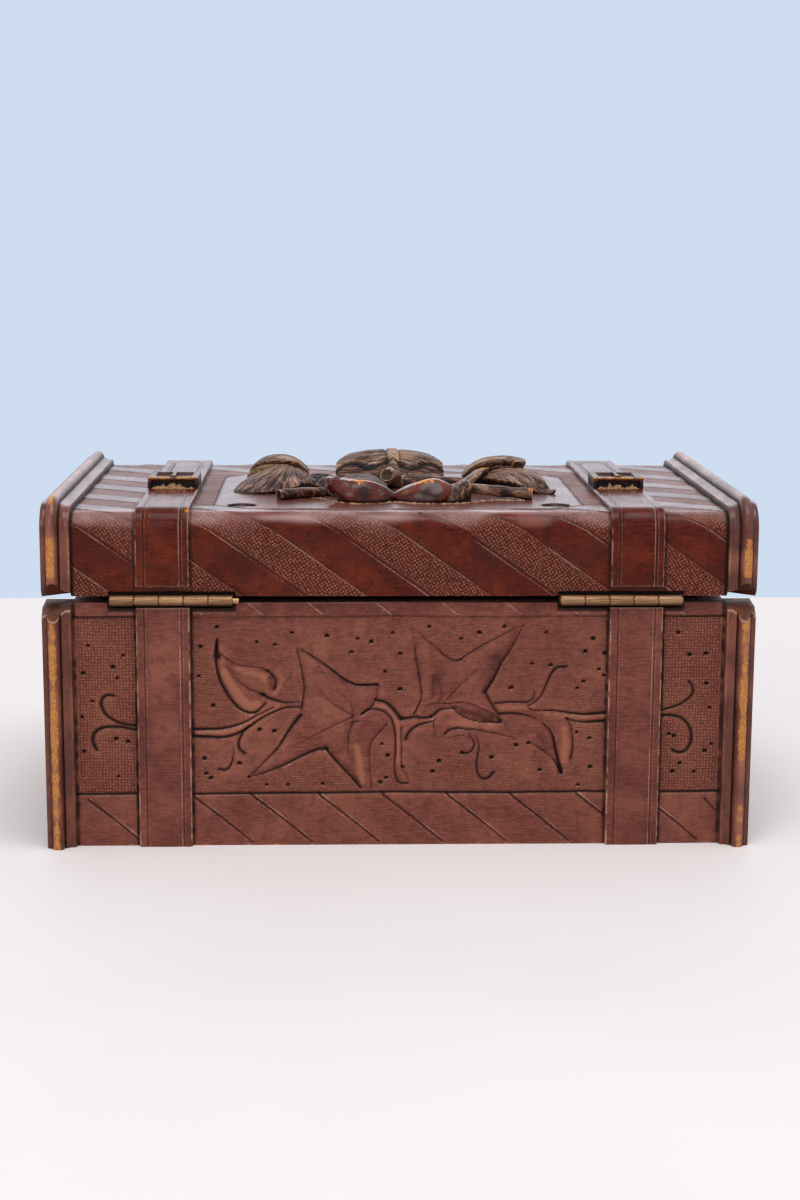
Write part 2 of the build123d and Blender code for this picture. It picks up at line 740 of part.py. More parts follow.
# the middle leaf has a midrib between two grooves
crest_start, crest_end, _, crest_heights = leaf_centre_hood
crest_top = max(crest_heights)
midrib_face = Plane(origin=(crest_start[0], crest_start[1], lid_top_z), x_dir=(-1, 0, 0), z_dir=(0, 1, 0))
with BuildPart() as leaf_centre:
    add(leaf(leaf_centre_outline, leaf_centre_hood, leaf_centre_hollow).part)
    with BuildSketch(midrib_face):
        for side in (-1, 1):
            with BuildLine():
                Polyline(
                    (side * midrib_half_width, crest_top),
                    (side * midrib_half_width, crest_top - midrib_groove),
                    (side * (midrib_half_width + midrib_groove), crest_top),
                    close=True,
                )
            make_face()
    extrude(amount=crest_end[1] - crest_start[1], mode=Mode.SUBTRACT)
finish(leaf_centre, "carving_leaf_centre")

# the bract beside the left leaf, and the nut that shows behind the front pair
with BuildPart() as bract:
    add(leaf(bract_outline, bract_hood, neighbours=(leaf_left,)).part)
    add(leaf(far_nut_outline, far_nut_hood, neighbours=(twig_stub,)).part)
finish(bract, "carving_husk_left")
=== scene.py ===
import bmesh
import bpy
import math
import numpy as np
from mathutils import Matrix, Vector


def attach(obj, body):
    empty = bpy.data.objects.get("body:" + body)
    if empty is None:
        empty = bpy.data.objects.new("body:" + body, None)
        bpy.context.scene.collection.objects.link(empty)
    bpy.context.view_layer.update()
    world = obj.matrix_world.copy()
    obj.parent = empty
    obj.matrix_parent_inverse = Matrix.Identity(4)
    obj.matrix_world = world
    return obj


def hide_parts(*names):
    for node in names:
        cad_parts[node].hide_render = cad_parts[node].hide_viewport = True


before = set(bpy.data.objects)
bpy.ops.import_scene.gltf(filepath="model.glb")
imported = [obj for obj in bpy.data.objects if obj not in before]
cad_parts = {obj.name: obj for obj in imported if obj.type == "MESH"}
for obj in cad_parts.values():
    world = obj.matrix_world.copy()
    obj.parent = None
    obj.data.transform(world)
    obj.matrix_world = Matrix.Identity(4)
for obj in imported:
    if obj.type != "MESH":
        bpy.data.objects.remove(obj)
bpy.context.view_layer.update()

# The tones of a surface, in the order in which its attributes hold them
DIRT_AND_SHADE, RIM, STIPPLE, WEAR, GLAZE_AND_SHADING = range(5)

# Lengths are in millimetres until a mesh is made. X runs along the box, the hinges are on the -Y side.
MM = 0.001
DETAIL = 1.0

CASE_HALF = 107.0
DEPTH_HALF = 69.0
CASE_TOP = 82.0
LID_BASE = 84.3
LID_TOP = 111.6
BOARD_BASE = 103.6
WALL = 8.0
EDGE_RADIUS = 5.6
MOULDING_WIDTH = 9.5
END_HALF = CASE_HALF + MOULDING_WIDTH
STRAP_X = 77.4
STRAP_WIDTH = 17.4
STRAP_PROUD = 1.6
TOP_BORDER = 4.6
BOTTOM_BORDER = 17.8
BAND_PITCH = 20.4
BAND_LEAN = 1.57
HINGE_X = (-74.5, 72.2)
HINGE_HALF = 20.6
SEAT_DEPTH = 1.3

rng = np.random.default_rng(11)
NOISE_TABLE = rng.random((64, 64))


# ---------------------------------------------------------------- numbers
def smooth(low, high, value):
    t = np.clip((value - low) / (high - low), 0.0, 1.0)
    return t * t * (3.0 - 2.0 * t)


def bell(distance, width):
    return np.exp(-(distance / width) ** 2)


def noise(u, v, size, shift=0.0):
    """Smooth value noise between -1 and 1, with lumps of the given size."""
    a = np.asarray(u) / size + shift * 7.3
    b = np.asarray(v) / size + shift * 3.1
    i = np.floor(a).astype(int)
    j = np.floor(b).astype(int)
    fa = a - i
    fb = b - j
    fa = fa * fa * (3 - 2 * fa)
    fb = fb * fb * (3 - 2 * fb)
    t = NOISE_TABLE
    n00 = t[i % 64, j % 64]
    n10 = t[(i + 1) % 64, j % 64]
    n01 = t[i % 64, (j + 1) % 64]
    n11 = t[(i + 1) % 64, (j + 1) % 64]
    return 2 * ((n00 * (1 - fa) + n10 * fa) * (1 - fb) + (n01 * (1 - fa) + n11 * fa) * fb) - 1


def rounded(points, closed=False, steps=6):
    """Points of a smooth curve through the given ones."""
    p = np.array(points, float)
    if closed:
        p = np.vstack([p[-1], p, p[0], p[1]])
    else:
        p = np.vstack([2 * p[0] - p[1], p, 2 * p[-1] - p[-2]])
    out = []
    for k in range(1, len(p) - 2):
        for t in np.arange(steps) / steps:
            a, b, c, d = p[k - 1:k + 3]
            out.append(0.5 * (2 * b + (c - a) * t + (2 * a - 5 * b + 4 * c - d) * t ** 2
                              + (3 * b - a - 3 * c + d) * t ** 3))
    if not closed:
        out.append(p[-2])
    return np.array(out)


def along(u, v, path):
    """Distance of each point from a line, how far along it the nearest place is, and its side: 1 is left."""
    path = np.asarray(path, float)
    best = np.full(u.shape, 1e9)
    place = np.zeros(u.shape)
    side = np.ones(u.shape)
    steps = np.hypot(*(path[1:] - path[:-1]).T)
    total = steps.sum()
    gone = 0.0
    for a, b, length in zip(path[:-1], path[1:], steps):
        if length < 1e-9:
            continue
        du, dv = (b - a) / length
        t = np.clip((u - a[0]) * du + (v - a[1]) * dv, 0, length)
        d = np.hypot(u - a[0] - t * du, v - a[1] - t * dv)
        closer = d < best
        best = np.where(closer, d, best)
        place = np.where(closer, (gone + t) / total, place)
        left = np.where((v - a[1]) * du - (u - a[0]) * dv >= 0, 1.0, -1.0)
        side = np.where(closer, left, side)
        gone += length
    return best, place, side


def inside(u, v, outline):
    p = np.asarray(outline, float)
    odd = np.zeros(u.shape, bool)
    for a, b in zip(p, np.roll(p, -1, axis=0)):
        if a[1] == b[1]:
            continue
        crosses = (a[1] > v) != (b[1] > v)
        odd ^= crosses & (u < a[0] + (v - a[1]) * (b[0] - a[0]) / (b[1] - a[1]))
    return odd


def softened(field, reach):
    """A surface with everything finer than the reach, in samples, smoothed away."""
    out = field
    for axis in (0, 1):
        for _ in range(3):
            pad = [(reach + 1, reach) if a == axis else (0, 0) for a in (0, 1)]
            total = np.cumsum(np.pad(out, pad, mode="edge"), axis=axis)
            size = out.shape[axis]
            width = 2 * reach + 1
            out = np.take(total, range(width, width + size), axis) - np.take(total, range(size), axis)
            out /= width
    return out


def stations(low, high, step, hidden=()):
    """Places from low to high, near together except in the hidden stretches."""
    marks = sorted({low, high, *[m for pair in hidden for m in pair if low < m < high]})
    out = [low]
    for a, b in zip(marks[:-1], marks[1:]):
        covered = any(h0 <= a and b <= h1 for h0, h1 in hidden)
        n = max(1, math.ceil((b - a) / (4.0 if covered else step * DETAIL)))
        out.extend(a + (b - a) * np.arange(1, n + 1) / n)
    return np.array(out)


# ---------------------------------------------------------------- meshes
def write_tones(mesh, tones, places):
    """Keeps dirt and painted shade, pale rims and painted highlights, stipple and wear in one attribute, and the
    glaze with its painted light and shade, and the flat place, in two more.
    """
    for old in ("carve", "glaze_and_shading", "flat"):
        if old in mesh.attributes:
            mesh.attributes.remove(mesh.attributes[old])
    colour = mesh.attributes.new("carve", "FLOAT_COLOR", "POINT")
    colour.data.foreach_set("color", np.clip(tones[:, :4], 0, 1).astype(np.float32).ravel())
    glaze_and_shading = mesh.attributes.new("glaze_and_shading", "FLOAT", "POINT")
    glaze_and_shading.data.foreach_set("value", np.clip(tones[:, GLAZE_AND_SHADING], -1, 1).astype(np.float32))
    flat = mesh.attributes.new("flat", "FLOAT_VECTOR", "POINT")
    flat.data.foreach_set("vector", places.astype(np.float32).ravel())


def make(name, points, faces, tones=None, places=None, sharp=45.0):
    """A mesh object from points in millimetres, with its carved tones and its flat coordinates."""
    mesh = bpy.data.meshes.new(name)
    mesh.from_pydata((np.asarray(points) * MM).tolist(), [], faces)
    where = np.array(points, float)
    values = blank(where)
    if tones is not None:
        values[:len(tones)] = tones
    if places is not None:
        where[:len(places)] = places
    write_tones(mesh, values, where)
    mesh.polygons.foreach_set("use_smooth", [True] * len(mesh.polygons))
    mesh.update()
    mesh.set_sharp_from_angle(angle=math.radians(sharp))
    obj = bpy.data.objects.new(name, mesh)
    bpy.context.scene.collection.objects.link(obj)
    return obj


def face_outward(obj):
    """Turns every face of a closed mesh outward."""
    work = bmesh.new()
    work.from_mesh(obj.data)
    bmesh.ops.recalc_face_normals(work, faces=work.faces)
    work.to_mesh(obj.data)
    work.free()
    return obj


def read(elements, key, width):
    """One property of all of a mesh's elements, a row for each."""
    values = np.zeros(len(elements) * width)
    elements.foreach_get(key, values)
    return values.reshape(-1, width)


def circle(count):
    return np.linspace(0, 2 * math.pi, count, endpoint=False)


def blank(points):
    """No tones yet, for an array of points."""
    return np.zeros(points.shape[:-1] + (5,))


def grid_faces(rows, columns, wrap=False):
    r = np.arange(rows - 1)[:, None]
    c = np.arange(columns if wrap else columns - 1)[None, :]
    a = r * columns + c
    b = r * columns + (c + 1) % columns
    return np.stack([a, b, b + columns, a + columns], axis=-1).reshape(-1, 4).tolist()


def relief_block(name, surface, under, tones, places):
    """A block whose outer face is a carved surface; under gives its inner edge beside each row."""
    rows, columns = surface.shape[:2]
    count = rows * columns
    points = np.vstack([surface.reshape(-1, 3), under.reshape(-1, 3)])
    faces = grid_faces(rows, columns)
    for row in range(rows - 1):
        left, right = row * columns, row * columns + columns - 1
        low, high = count + 2 * row, count + 2 * row + 1
        faces.append([left, left + columns, low + 2, low])
        faces.append([right, high, high + 2, right + columns])
        faces.append([low, low + 2, high + 2, high])
    last = (rows - 1) * columns
    faces.append([count, count + 1] + list(range(columns - 1, -1, -1)))
    faces.append([count + 2 * rows - 1, count + 2 * rows - 2] + list(range(last, last + columns)))
    all_places = np.vstack([places.reshape(-1, 3), under.reshape(-1, 3)])
    return face_outward(make(name, points, faces, tones.reshape(-1, 5), all_places))


def walled(name, r, surface, axis, inner, shift=(0, 0, 0)):
    """A closed block behind a carved surface. The surface's side edges, moved along an axis, bound its inner face."""
    ends = surface[:, [0, -1]].copy()
    ends[:, :, axis] = inner
    return relief_block(name, surface, ends, r.tones(), r.places() + shift)


def ring_loft(name, rings, tones, places, sharp=45.0):
    """A closed solid through rings of points."""
    count, size = rings.shape[:2]
    faces = grid_faces(count, size, wrap=True)
    faces.append(list(range(size - 1, -1, -1)))
    faces.append(list(range((count - 1) * size, count * size)))
    rings, tones, places = (values.reshape(count * size, -1) for values in (rings, tones, places))
    return face_outward(make(name, rings, faces, tones, places, sharp))


def joined(name, objects):
    """One object made of several."""
    bpy.ops.object.select_all(action="DESELECT")
    for obj in objects:
        obj.select_set(True)
    bpy.context.view_layer.objects.active = objects[0]
    bpy.ops.object.join()
    objects[0].name = name
    objects[0].data.name = name
    return objects[0]


class Relief:
    """A carved surface over flat coordinates u and v: heights, and tones for what has gathered there and for painted
    light and shade.
    """

    def __init__(self, u, v):
        self.u, self.v = np.meshgrid(u, v)
        self.h, self.dirt, self.rim, self.stipple, self.wear, self.glaze_and_shading = np.zeros((6,) + self.u.shape)

    def near(self, path, margin):
        """The part of the surface round some points."""
        p = np.asarray(path, float)
        columns = np.searchsorted(self.u[0], (p[:, 0].min() - margin, p[:, 0].max() + margin))
        rows = np.searchsorted(self.v[:, 0], (p[:, 1].min() - margin, p[:, 1].max() + margin))
        return slice(*rows), slice(*columns)

    def soil_and_shade(self, amount, where=...):
        self.dirt[where] = np.maximum(self.dirt[where], amount)

    def pale(self, amount, where=...):
        self.rim[where] = np.maximum(self.rim[where], amount)

    def groove(self, shape, depth, dirt):
        self.h -= depth * shape
        self.soil_and_shade(dirt * shape)

    def cut(self, path, width, depth, ends=(1.0, 1.0), slope=(0.0, 0.0, 1.0), dirt=0.9):
        """A knife cut along a line. The face slopes down to it on one side: slope gives the drop on the
        line's left side and on its right, and how far away each begins."""
        w = self.near(path, max(4 * width, slope[2]) + 1)
        if self.u[w].size == 0:
            return
        d, t, side = along(self.u[w], self.v[w], path)
        share = ends[0] + (ends[1] - ends[0]) * t
        local = width * share
        drop = np.where(side > 0, slope[0], slope[1])
        self.h[w] -= depth * bell(d, local) * np.sqrt(share)
        self.h[w] -= drop * share * np.clip(1 - d / slope[2], 0, 1) ** 2
        self.soil_and_shade(dirt * bell(d, 0.85 * local) * np.clip(share, 0, 1) ** 0.5, w)
        self.stipple[w] *= 1 - 0.8 * bell(d, 2 * local)
        # the edge that stands higher is painted pale: partly a rubbed edge, partly a painted highlight where light
        # from above catches it
        high = np.where((side > 0) == (slope[0] < slope[1]), 1.0, 0.0) if slope[0] != slope[1] else 0.5
        patchy = np.clip(0.65 + 0.7 * noise(self.u[w], self.v[w], 3.5, 21), 0, 1)
        self.pale(0.62 * high * patchy * bell(d - local - 0.25, 0.22) * np.clip(share, 0, 1), w)

    def stroke(self, path, width, amount, lift=0.0):
        """A soft painted highlight along a line where the amount is positive, painted shade where it is negative,
        raised or sunk a little.
        """
        w = self.near(path, 2.5 * width)
        d, _, _ = along(self.u[w], self.v[w], path)
        self.glaze_and_shading[w] += 0.75 * amount * bell(d, width)
        self.h[w] += lift * bell(d, width)

    def weather_and_shade(self, reach, hollows=1.6, ledges=0.5):
        """Darkens the hollows and the walls that face down, and lightens the high places and the ledges that face up:
        partly dirt, rubbing and dust, partly painted shade and painted highlights for light from above.
        """
        relative = self.h - softened(self.h, reach)
        # hollows darker: dirt and painted shade
        self.soil_and_shade(np.clip(-hollows * relative - 0.12, 0, 0.9))
        # convex places lighter and hollows darker: painted highlights and painted shade
        self.glaze_and_shading += np.clip(2.2 * relative, -0.35, 0.55)
        slope = np.gradient(self.h, axis=0) / np.gradient(self.v, axis=0)
        # ledges that face up paler: painted highlight from light above, partly dust
        self.pale(ledges * smooth(0.22, 0.9, -slope))
        # walls that face down darker: painted shade
        self.soil_and_shade(0.6 * smooth(0.35, 1.2, slope))

    def tones(self):
        return np.stack([self.dirt, self.rim, self.stipple, self.wear, self.glaze_and_shading], axis=-1)

    def places(self):
        return np.stack([self.u, self.v, self.h], axis=-1)


# ---------------------------------------------------------------- vine of the long faces
# Each cut: its line, width and depth, its share of them at either end, how far the face drops to its left and
# right, and the reach of that drop
LEAF_CUTS = [
    # the big leaf: its left edge, upper edge, right edge, the two edges of its underside and its lower lobe
    ([(-34, 66.3), (-33, 62.5), (-32, 57.5), (-31.5, 53.5), (-32, 49.5), (-32.5, 46.5)],
     0.4, 0.45, (0.7, 1), 0.3, 0, 2.5),
    ([(-32.8, 44.3), (-36, 40), (-38, 37), (-40.5, 33), (-44.5, 28.8), (-48.8, 24.3)],
     0.62, 0.75, (1.2, 0.45), 0.3, 0, 2.2),
    ([(-32.2, 66.5), (-28.5, 64), (-23.5, 60.5), (-19, 57),
     (-16.5, 55.4), (-14, 54.6), (-11, 54.5), (-7.3, 54.7)], 0.45, 0.6, (0.6, 1.15), 0, 0.55, 3.2),
    ([(-7.5, 54.3), (-7.5, 51.5), (-8, 49.5), (-9.5, 47), (-12.5, 44.5)], 0.4, 0.45, (0.5, 1.2), 0, 0.2, 1.5),
    ([(-48.8, 23.6), (-44.5, 24.7), (-38, 27.4), (-33, 30), (-28.5, 32), (-26.5, 32.7), (-24.5, 32.6)],
     0.42, 0.5, (0.6, 1.2), 0.5, 0, 3),
    ([(-24.5, 32.6), (-22, 29.7), (-18.5, 25.7), (-15.5, 22.3), (-13, 19.3)], 0.42, 0.5, (1.1, 0.8), 0.6, 0, 3),
    ([(-4.2, 41.3), (-6, 39.2), (-8, 37), (-9.4, 35), (-10, 32), (-10, 27.5), (-9.6, 23.5), (-9.4, 19.5)],
     0.36, 0.45, (0.9, 0.7), 0, 0.25, 1.8),
    # its veins
    ([(-15.5, 44.2), (-19, 46.2), (-24, 49.8), (-27.5, 54)], 0.3, 0.3, (1, 0.5), 0.22, 0.22, 3),
    ([(-15.6, 45), (-16.1, 47.5), (-16, 50)], 0.25, 0.22, (1, 0.4), 0.1, 0.1, 1.5),
    ([(-15.2, 43.8), (-21.5, 41), (-28.5, 37.2), (-34.5, 34), (-41, 30.2)], 0.3, 0.3, (1, 0.3), 0.2, 0.2, 3.2),
    ([(-15.6, 41.6), (-16.7, 38.5), (-17.1, 35), (-17, 31.5), (-16, 29.3)],
     0.32, 0.32, (1, 0.5), 0.15, 0.25, 2),
    ([(-15.6, 42), (-13.6, 42.2)], 0.45, 0.5, (1, 0.8), 0, 0, 1),
    # the leaf on the right: left edge, upper edges, right edges
    ([(3.6, 73.2), (4.5, 69.5), (5, 64), (6, 58.5), (6.7, 54), (7, 50.2), (6, 47.3), (4.6, 44.5)],
     0.38, 0.42, (0.5, 1.1), 0.35, 0, 2),
    ([(4.6, 73.2), (7.5, 70.6), (11.5, 67.3), (14.5, 64.6), (16.8, 63), (18.2, 62.6), (19.6, 63)],
     0.36, 0.4, (0.5, 1), 0, 0.35, 2.4),
    ([(19.6, 63), (23, 65.3), (28, 68.3), (32.5, 70.7), (37, 73), (40.5, 74.5)],
     0.36, 0.4, (1, 0.5), 0, 0.35, 2.4),
    ([(39.8, 73), (36.5, 66.5), (33.5, 61.8), (31, 56.5), (28.4, 52.2)], 0.42, 0.5, (0.4, 1.1), 0, 0.55, 3),
    ([(28.2, 51.8), (30, 48.5), (32, 45), (33.6, 41.6)], 0.42, 0.5, (1, 0.8), 0, 0.35, 2),
    # its veins, the fold along its lower edge and the hollow under the fold
    ([(13.1, 48.8), (13.6, 52.5), (12.8, 55.5), (12.5, 57.5)], 0.26, 0.2, (1, 0.4), 0.2, 0.1, 2),
    ([(14, 50), (15.1, 52.6)], 0.25, 0.2, (1, 0.4), 0.1, 0.1, 1.5),
    ([(15.5, 49.4), (18.5, 53), (22, 56.5), (25.3, 59.7)], 0.28, 0.26, (1, 0.3), 0.2, 0.2, 3),
    ([(8, 47.5), (12, 48.4), (16, 48.1), (19.5, 48.6), (23.5, 48), (27, 46.3), (30.5, 44.8), (33.2, 42)],
     0.34, 0.4, (0.6, 0.7), 0, 0.5, 3.2),
    ([(17.5, 46.5), (20, 44.2), (23, 42.7), (26.5, 41.9), (33.3, 41.4)], 0.42, 0.5, (0.7, 0.8), 0.5, 0, 2.6),
    ([(10.2, 43.4), (11.7, 44.6), (13.8, 46.1), (19, 46.5)], 0.5, 0.6, (1.2, 0.6), 0.25, 0, 2),
    ([(11.4, 43.2), (11.1, 40.5), (11.6, 37.4)], 0.28, 0.28, (1, 0.6), 0.15, 0, 1.5),
    ([(31.4, 47.6), (34, 42.4), (36.3, 38.2)], 0.26, 0.2, (0.8, 0.6), 0, 0.15, 1.6),
    ([(15, 37.6), (16.4, 39), (19, 39.6), (23.5, 39.3), (28, 38.6), (33, 37.6), (37.5, 36.4)],
     0.42, 0.55, (1.1, 0.4), 0.35, 0, 2.2),
    ([(12.5, 36.1), (16.5, 36.4), (20.5, 37.4), (23, 36)], 0.3, 0.28, (0.6, 0.8), 0, 0, 1),
    # the curled leaf on the left, its hollow tip and hooked end, and the crease down its middle
    ([(-60, 69.8), (-60.6, 65), (-60.2, 60.5), (-59.3, 56.5),
     (-57.6, 52.8), (-55.4, 49.2), (-53, 46.6), (-50.4, 45.3), (-48, 45.1), (-46.2, 46.2), (-44.4, 48)],
     0.48, 0.65, (1, 0.9), 0.45, 0, 2.4),
    ([(-60, 69), (-60, 66.5), (-59.6, 63.8)], 0.75, 0.9, (0.4, 1.2), 0, 0, 1),
    ([(-58.8, 65), (-55, 62.2), (-52, 61.1), (-48, 60.6), (-45.5, 60.2), (-43.2, 59.2)],
     0.36, 0.3, (0.9, 0.8), 0, 0.25, 1.6),
    ([(-43.8, 59.4), (-41.6, 57.6), (-40.8, 55.2), (-41.4, 52.8)], 0.55, 0.7, (0.7, 0.9), 0, 0.3, 1.6),
    ([(-57, 61), (-54.2, 57.2), (-52, 55), (-49.5, 53.2), (-45, 51.2)], 0.34, 0.3, (0.5, 1.1), 0.3, 0.35, 2.6),
    # the curled leaf on the right
    ([(55.2, 43), (56.6, 40.5), (57.3, 37), (57.5, 33.5), (56.9, 29)], 0.45, 0.6, (0.6, 0.9), 0, 0.3, 1.6),
    ([(47, 41.6), (49.4, 39.5), (51, 36.5), (51.7, 33), (52.6, 29.5), (53.9, 24.6)],
     0.45, 0.5, (0.6, 1.6), 0, 0.5, 2.6),
    ([(43.6, 34.6), (46.5, 32.6), (49.4, 30.6), (51.6, 28), (53.5, 24)], 0.36, 0.4, (0.7, 0.9), 0.4, 0, 2.4),
]
STEM_CUTS = [
    ([(-72, 39.6), (-63.5, 39.6), (-59, 39.8), (-54.5, 40.7),
     (-50.5, 42.2), (-47.5, 44), (-44.5, 45.5), (-41.5, 47)], 0.62, 0.85, (1.15, 0.5)),
    ([(-72, 37.2), (-63.5, 37), (-59, 36.8), (-55.5, 37.4),
     (-52.5, 38.6), (-50, 40.1), (-47.5, 42), (-44.5, 43.9), (-40.5, 45.8), (-37, 46.9), (-32.8, 47.1)],
     0.6, 0.8, (1.2, 0.65)),
    ([(-45.2, 51.2), (-43, 50), (-40, 49), (-37.5, 48.6), (-33.2, 48.8)], 0.62, 0.8, (1.2, 0.4)),
    ([(-8, 49.3), (-5, 48.6), (-2.5, 46.6), (-0.4, 43.9), (0.5, 42.6)], 0.6, 0.7, (1, 1.2)),
    ([(-12.6, 44.5), (-10.3, 46), (-7.5, 46.3), (-5, 45.3), (-3, 43.2),
     (-2, 40.5), (-1.5, 37), (-1.4, 32.5), (-1.7, 27.5), (-1.4, 24), (-0.5, 21.6), (1, 20.9), (2.8, 21)],
     0.48, 0.6, (0.8, 0.9)),
    ([(0.6, 40.2), (0.4, 38), (0.5, 33.5), (0.6, 27), (1.8, 24.6), (3, 22.4)], 0.36, 0.45, (0.9, 0.7)),
    ([(0.5, 43), (2.5, 43.2), (5, 43.5), (7.5, 43.3), (10.2, 43.4)], 0.55, 0.65, (1.2, 0.9)),
    ([(2, 35.9), (2.9, 38.2), (5, 40.2), (8, 41.4), (10.8, 42)], 0.5, 0.65, (1.2, 0.8)),
    ([(31.2, 48.1), (35, 48.5), (39, 48.6), (42, 48.5), (44, 49.8), (44.6, 52)], 0.5, 0.6, (0.9, 0.7)),
    ([(33, 44.6), (37.5, 44.7), (41.5, 44.1), (45, 42.9)], 0.55, 0.65, (1.1, 0.7)),
    ([(42.5, 46.6), (44.5, 45.7), (48, 45.7), (51.5, 45.5), (56.5, 44.8), (61, 44.3), (64.5, 44.5), (72, 45)],
     0.6, 0.85, (0.4, 1.3)),
    ([(55, 43), (58, 42), (61.5, 41.6), (64.5, 41.8), (72, 42.2)], 0.6, 0.85, (0.6, 1.25)),
    # tendrils, in the middle and beyond the straps
    ([(42, 47), (44.6, 48.6), (46.5, 50.6), (48.1, 54), (49.6, 57.6), (51.6, 60), (54.8, 60.5)],
     0.45, 0.6, (0.6, 1.3)),
    ([(23, 37.6), (24.5, 35.2), (24.5, 33.4), (23.1, 31.5), (20.8, 31.1)], 0.42, 0.5, (0.8, 1.1)),
    ([(25.5, 37.1), (26.2, 33.5), (25.7, 29.5), (25.6, 26),
     (26.4, 23.5), (28.4, 22.4), (30, 23.2), (31.2, 24.6)], 0.42, 0.5, (0.6, 1.5)),
    ([(-49.8, 40.6), (-52, 38), (-53.1, 35.5), (-53, 33), (-51.2, 31.3)], 0.55, 0.7, (0.7, 1.2)),
    ([(-55, 34.2), (-55, 30.5), (-55.9, 27.5), (-57.5, 25.8), (-59.8, 26.1)], 0.5, 0.55, (0.4, 1.4)),
    ([(-82, 40.8), (-86.9, 40.9), (-91, 41.5), (-94, 42.7),
     (-96.5, 44.5), (-97.8, 46.8), (-98.2, 48.7), (-97.4, 50.4), (-95.9, 51.2), (-94, 51)],
     0.55, 0.7, (1.2, 1.2)),
    ([(-82, 39.2), (-86.9, 39.4), (-91, 40.2), (-94.6, 40.5),
     (-97.6, 40.2), (-100, 39), (-101.1, 37.1), (-101, 35), (-100, 32.7)], 0.55, 0.7, (0.9, 1.6)),
    ([(82, 45.2), (86.3, 45.6), (88.1, 46.1), (91.4, 47),
     (94.1, 48.4), (96.4, 50.5), (97.1, 52.7), (96.3, 54.6), (95.6, 55.3)], 0.5, 0.7, (1, 1.2)),
    ([(82, 43.6), (86.3, 43.7), (89.6, 43.9), (92.9, 43.2),
     (95.3, 41.3), (96.8, 38.4), (96.9, 35), (95.6, 32.3), (93.7, 31.2), (91.8, 31.4), (90.9, 32.1)],
     0.55, 0.75, (1.2, 1.3)),
]
# Painted highlights and painted shade on ridges, hollows and stems of the vine, partly the wood's own lighter and
# darker patches: line, width, lighter or darker, lift
SHADING_STROKES = [
    ([(-14.2, 33.5), (-13.2, 27.5), (-12.4, 21.5)], 1.2, 0.75, 0.25),
    ([(-18, 27.5), (-15.5, 24.2), (-13.6, 20.8)], 1, -0.55, -0.15),
    ([(-44, 26.5), (-33, 31.8), (-26, 35)], 1.5, -0.4, 0),
    ([(-27, 42.5), (-21, 46)], 3.2, 0.25, 0.12),
    ([(-29, 60), (-26, 50)], 2.6, 0.2, 0.15),
    ([(-13, 51), (-17, 53)], 2.5, -0.15, 0.1),
    ([(-57.6, 58.5), (-55, 53.8), (-52.4, 49.8), (-49.6, 47.3), (-47, 47.4)], 1.5, 0.85, 0.3),
    ([(-53, 60), (-47.5, 58), (-43.6, 56.5)], 1.6, 0.35, 0.15),
    ([(-42.6, 57), (-42.2, 54)], 0.9, -0.8, -0.2),
    ([(-40, 59), (-38.9, 56.8), (-39.3, 54.2), (-41.3, 51.8)], 0.7, 0.8, 0.1),
    ([(-50, 52), (-46, 49.5)], 1.2, -0.4, -0.1),
    ([(8.3, 66), (9.5, 59), (10, 53)], 2.4, 0.35, 0.15),
    ([(11, 57.2), (10.8, 51.2)], 1, -0.95, -0.1),
    ([(36.5, 70), (31.5, 62), (27.5, 54.5)], 2.2, -0.5, 0),
    ([(17, 57.5), (20, 60.5)], 2.6, 0.1, 0.15),
    ([(28, 49.5), (31, 45.5)], 1.5, -0.5, 0),
    ([(20.5, 45.8), (25, 44.3), (30, 43)], 1.5, -1.3, -0.25),
    ([(15, 46.9), (19, 47.4), (23, 46.9), (27.5, 45.2)], 0.5, -0.3, 0),
    ([(8, 45.5), (12, 46.4)], 1.2, -0.6, -0.1),
    ([(17, 41.5), (24, 40.6), (31, 39.6)], 1.3, 0.2, 0.15),
    ([(54.4, 39.5), (55, 34.5), (54.8, 28.5)], 1.2, 0.45, 0.2),
    ([(47, 37), (50, 33)], 2, -0.4, 0),
    ([(-66, 38.3), (-58, 38.3), (-52, 40.2), (-46, 44.2), (-40, 47.4)], 0.6, 0.4, 0.2),
    ([(-8, 47.6), (-4, 46.6), (-1.3, 43), (-0.5, 38), (-0.5, 28)], 0.7, 0.5, 0.15),
    ([(34, 46.6), (44, 46.9)], 0.8, 0.45, 0.15),
    ([(48, 44.4), (58, 43.4), (69, 43.6)], 0.6, 0.35, 0.15),
    ([(-6.3, 54.6), (-5.6, 51.5)], 1, 0.5, 0),
]
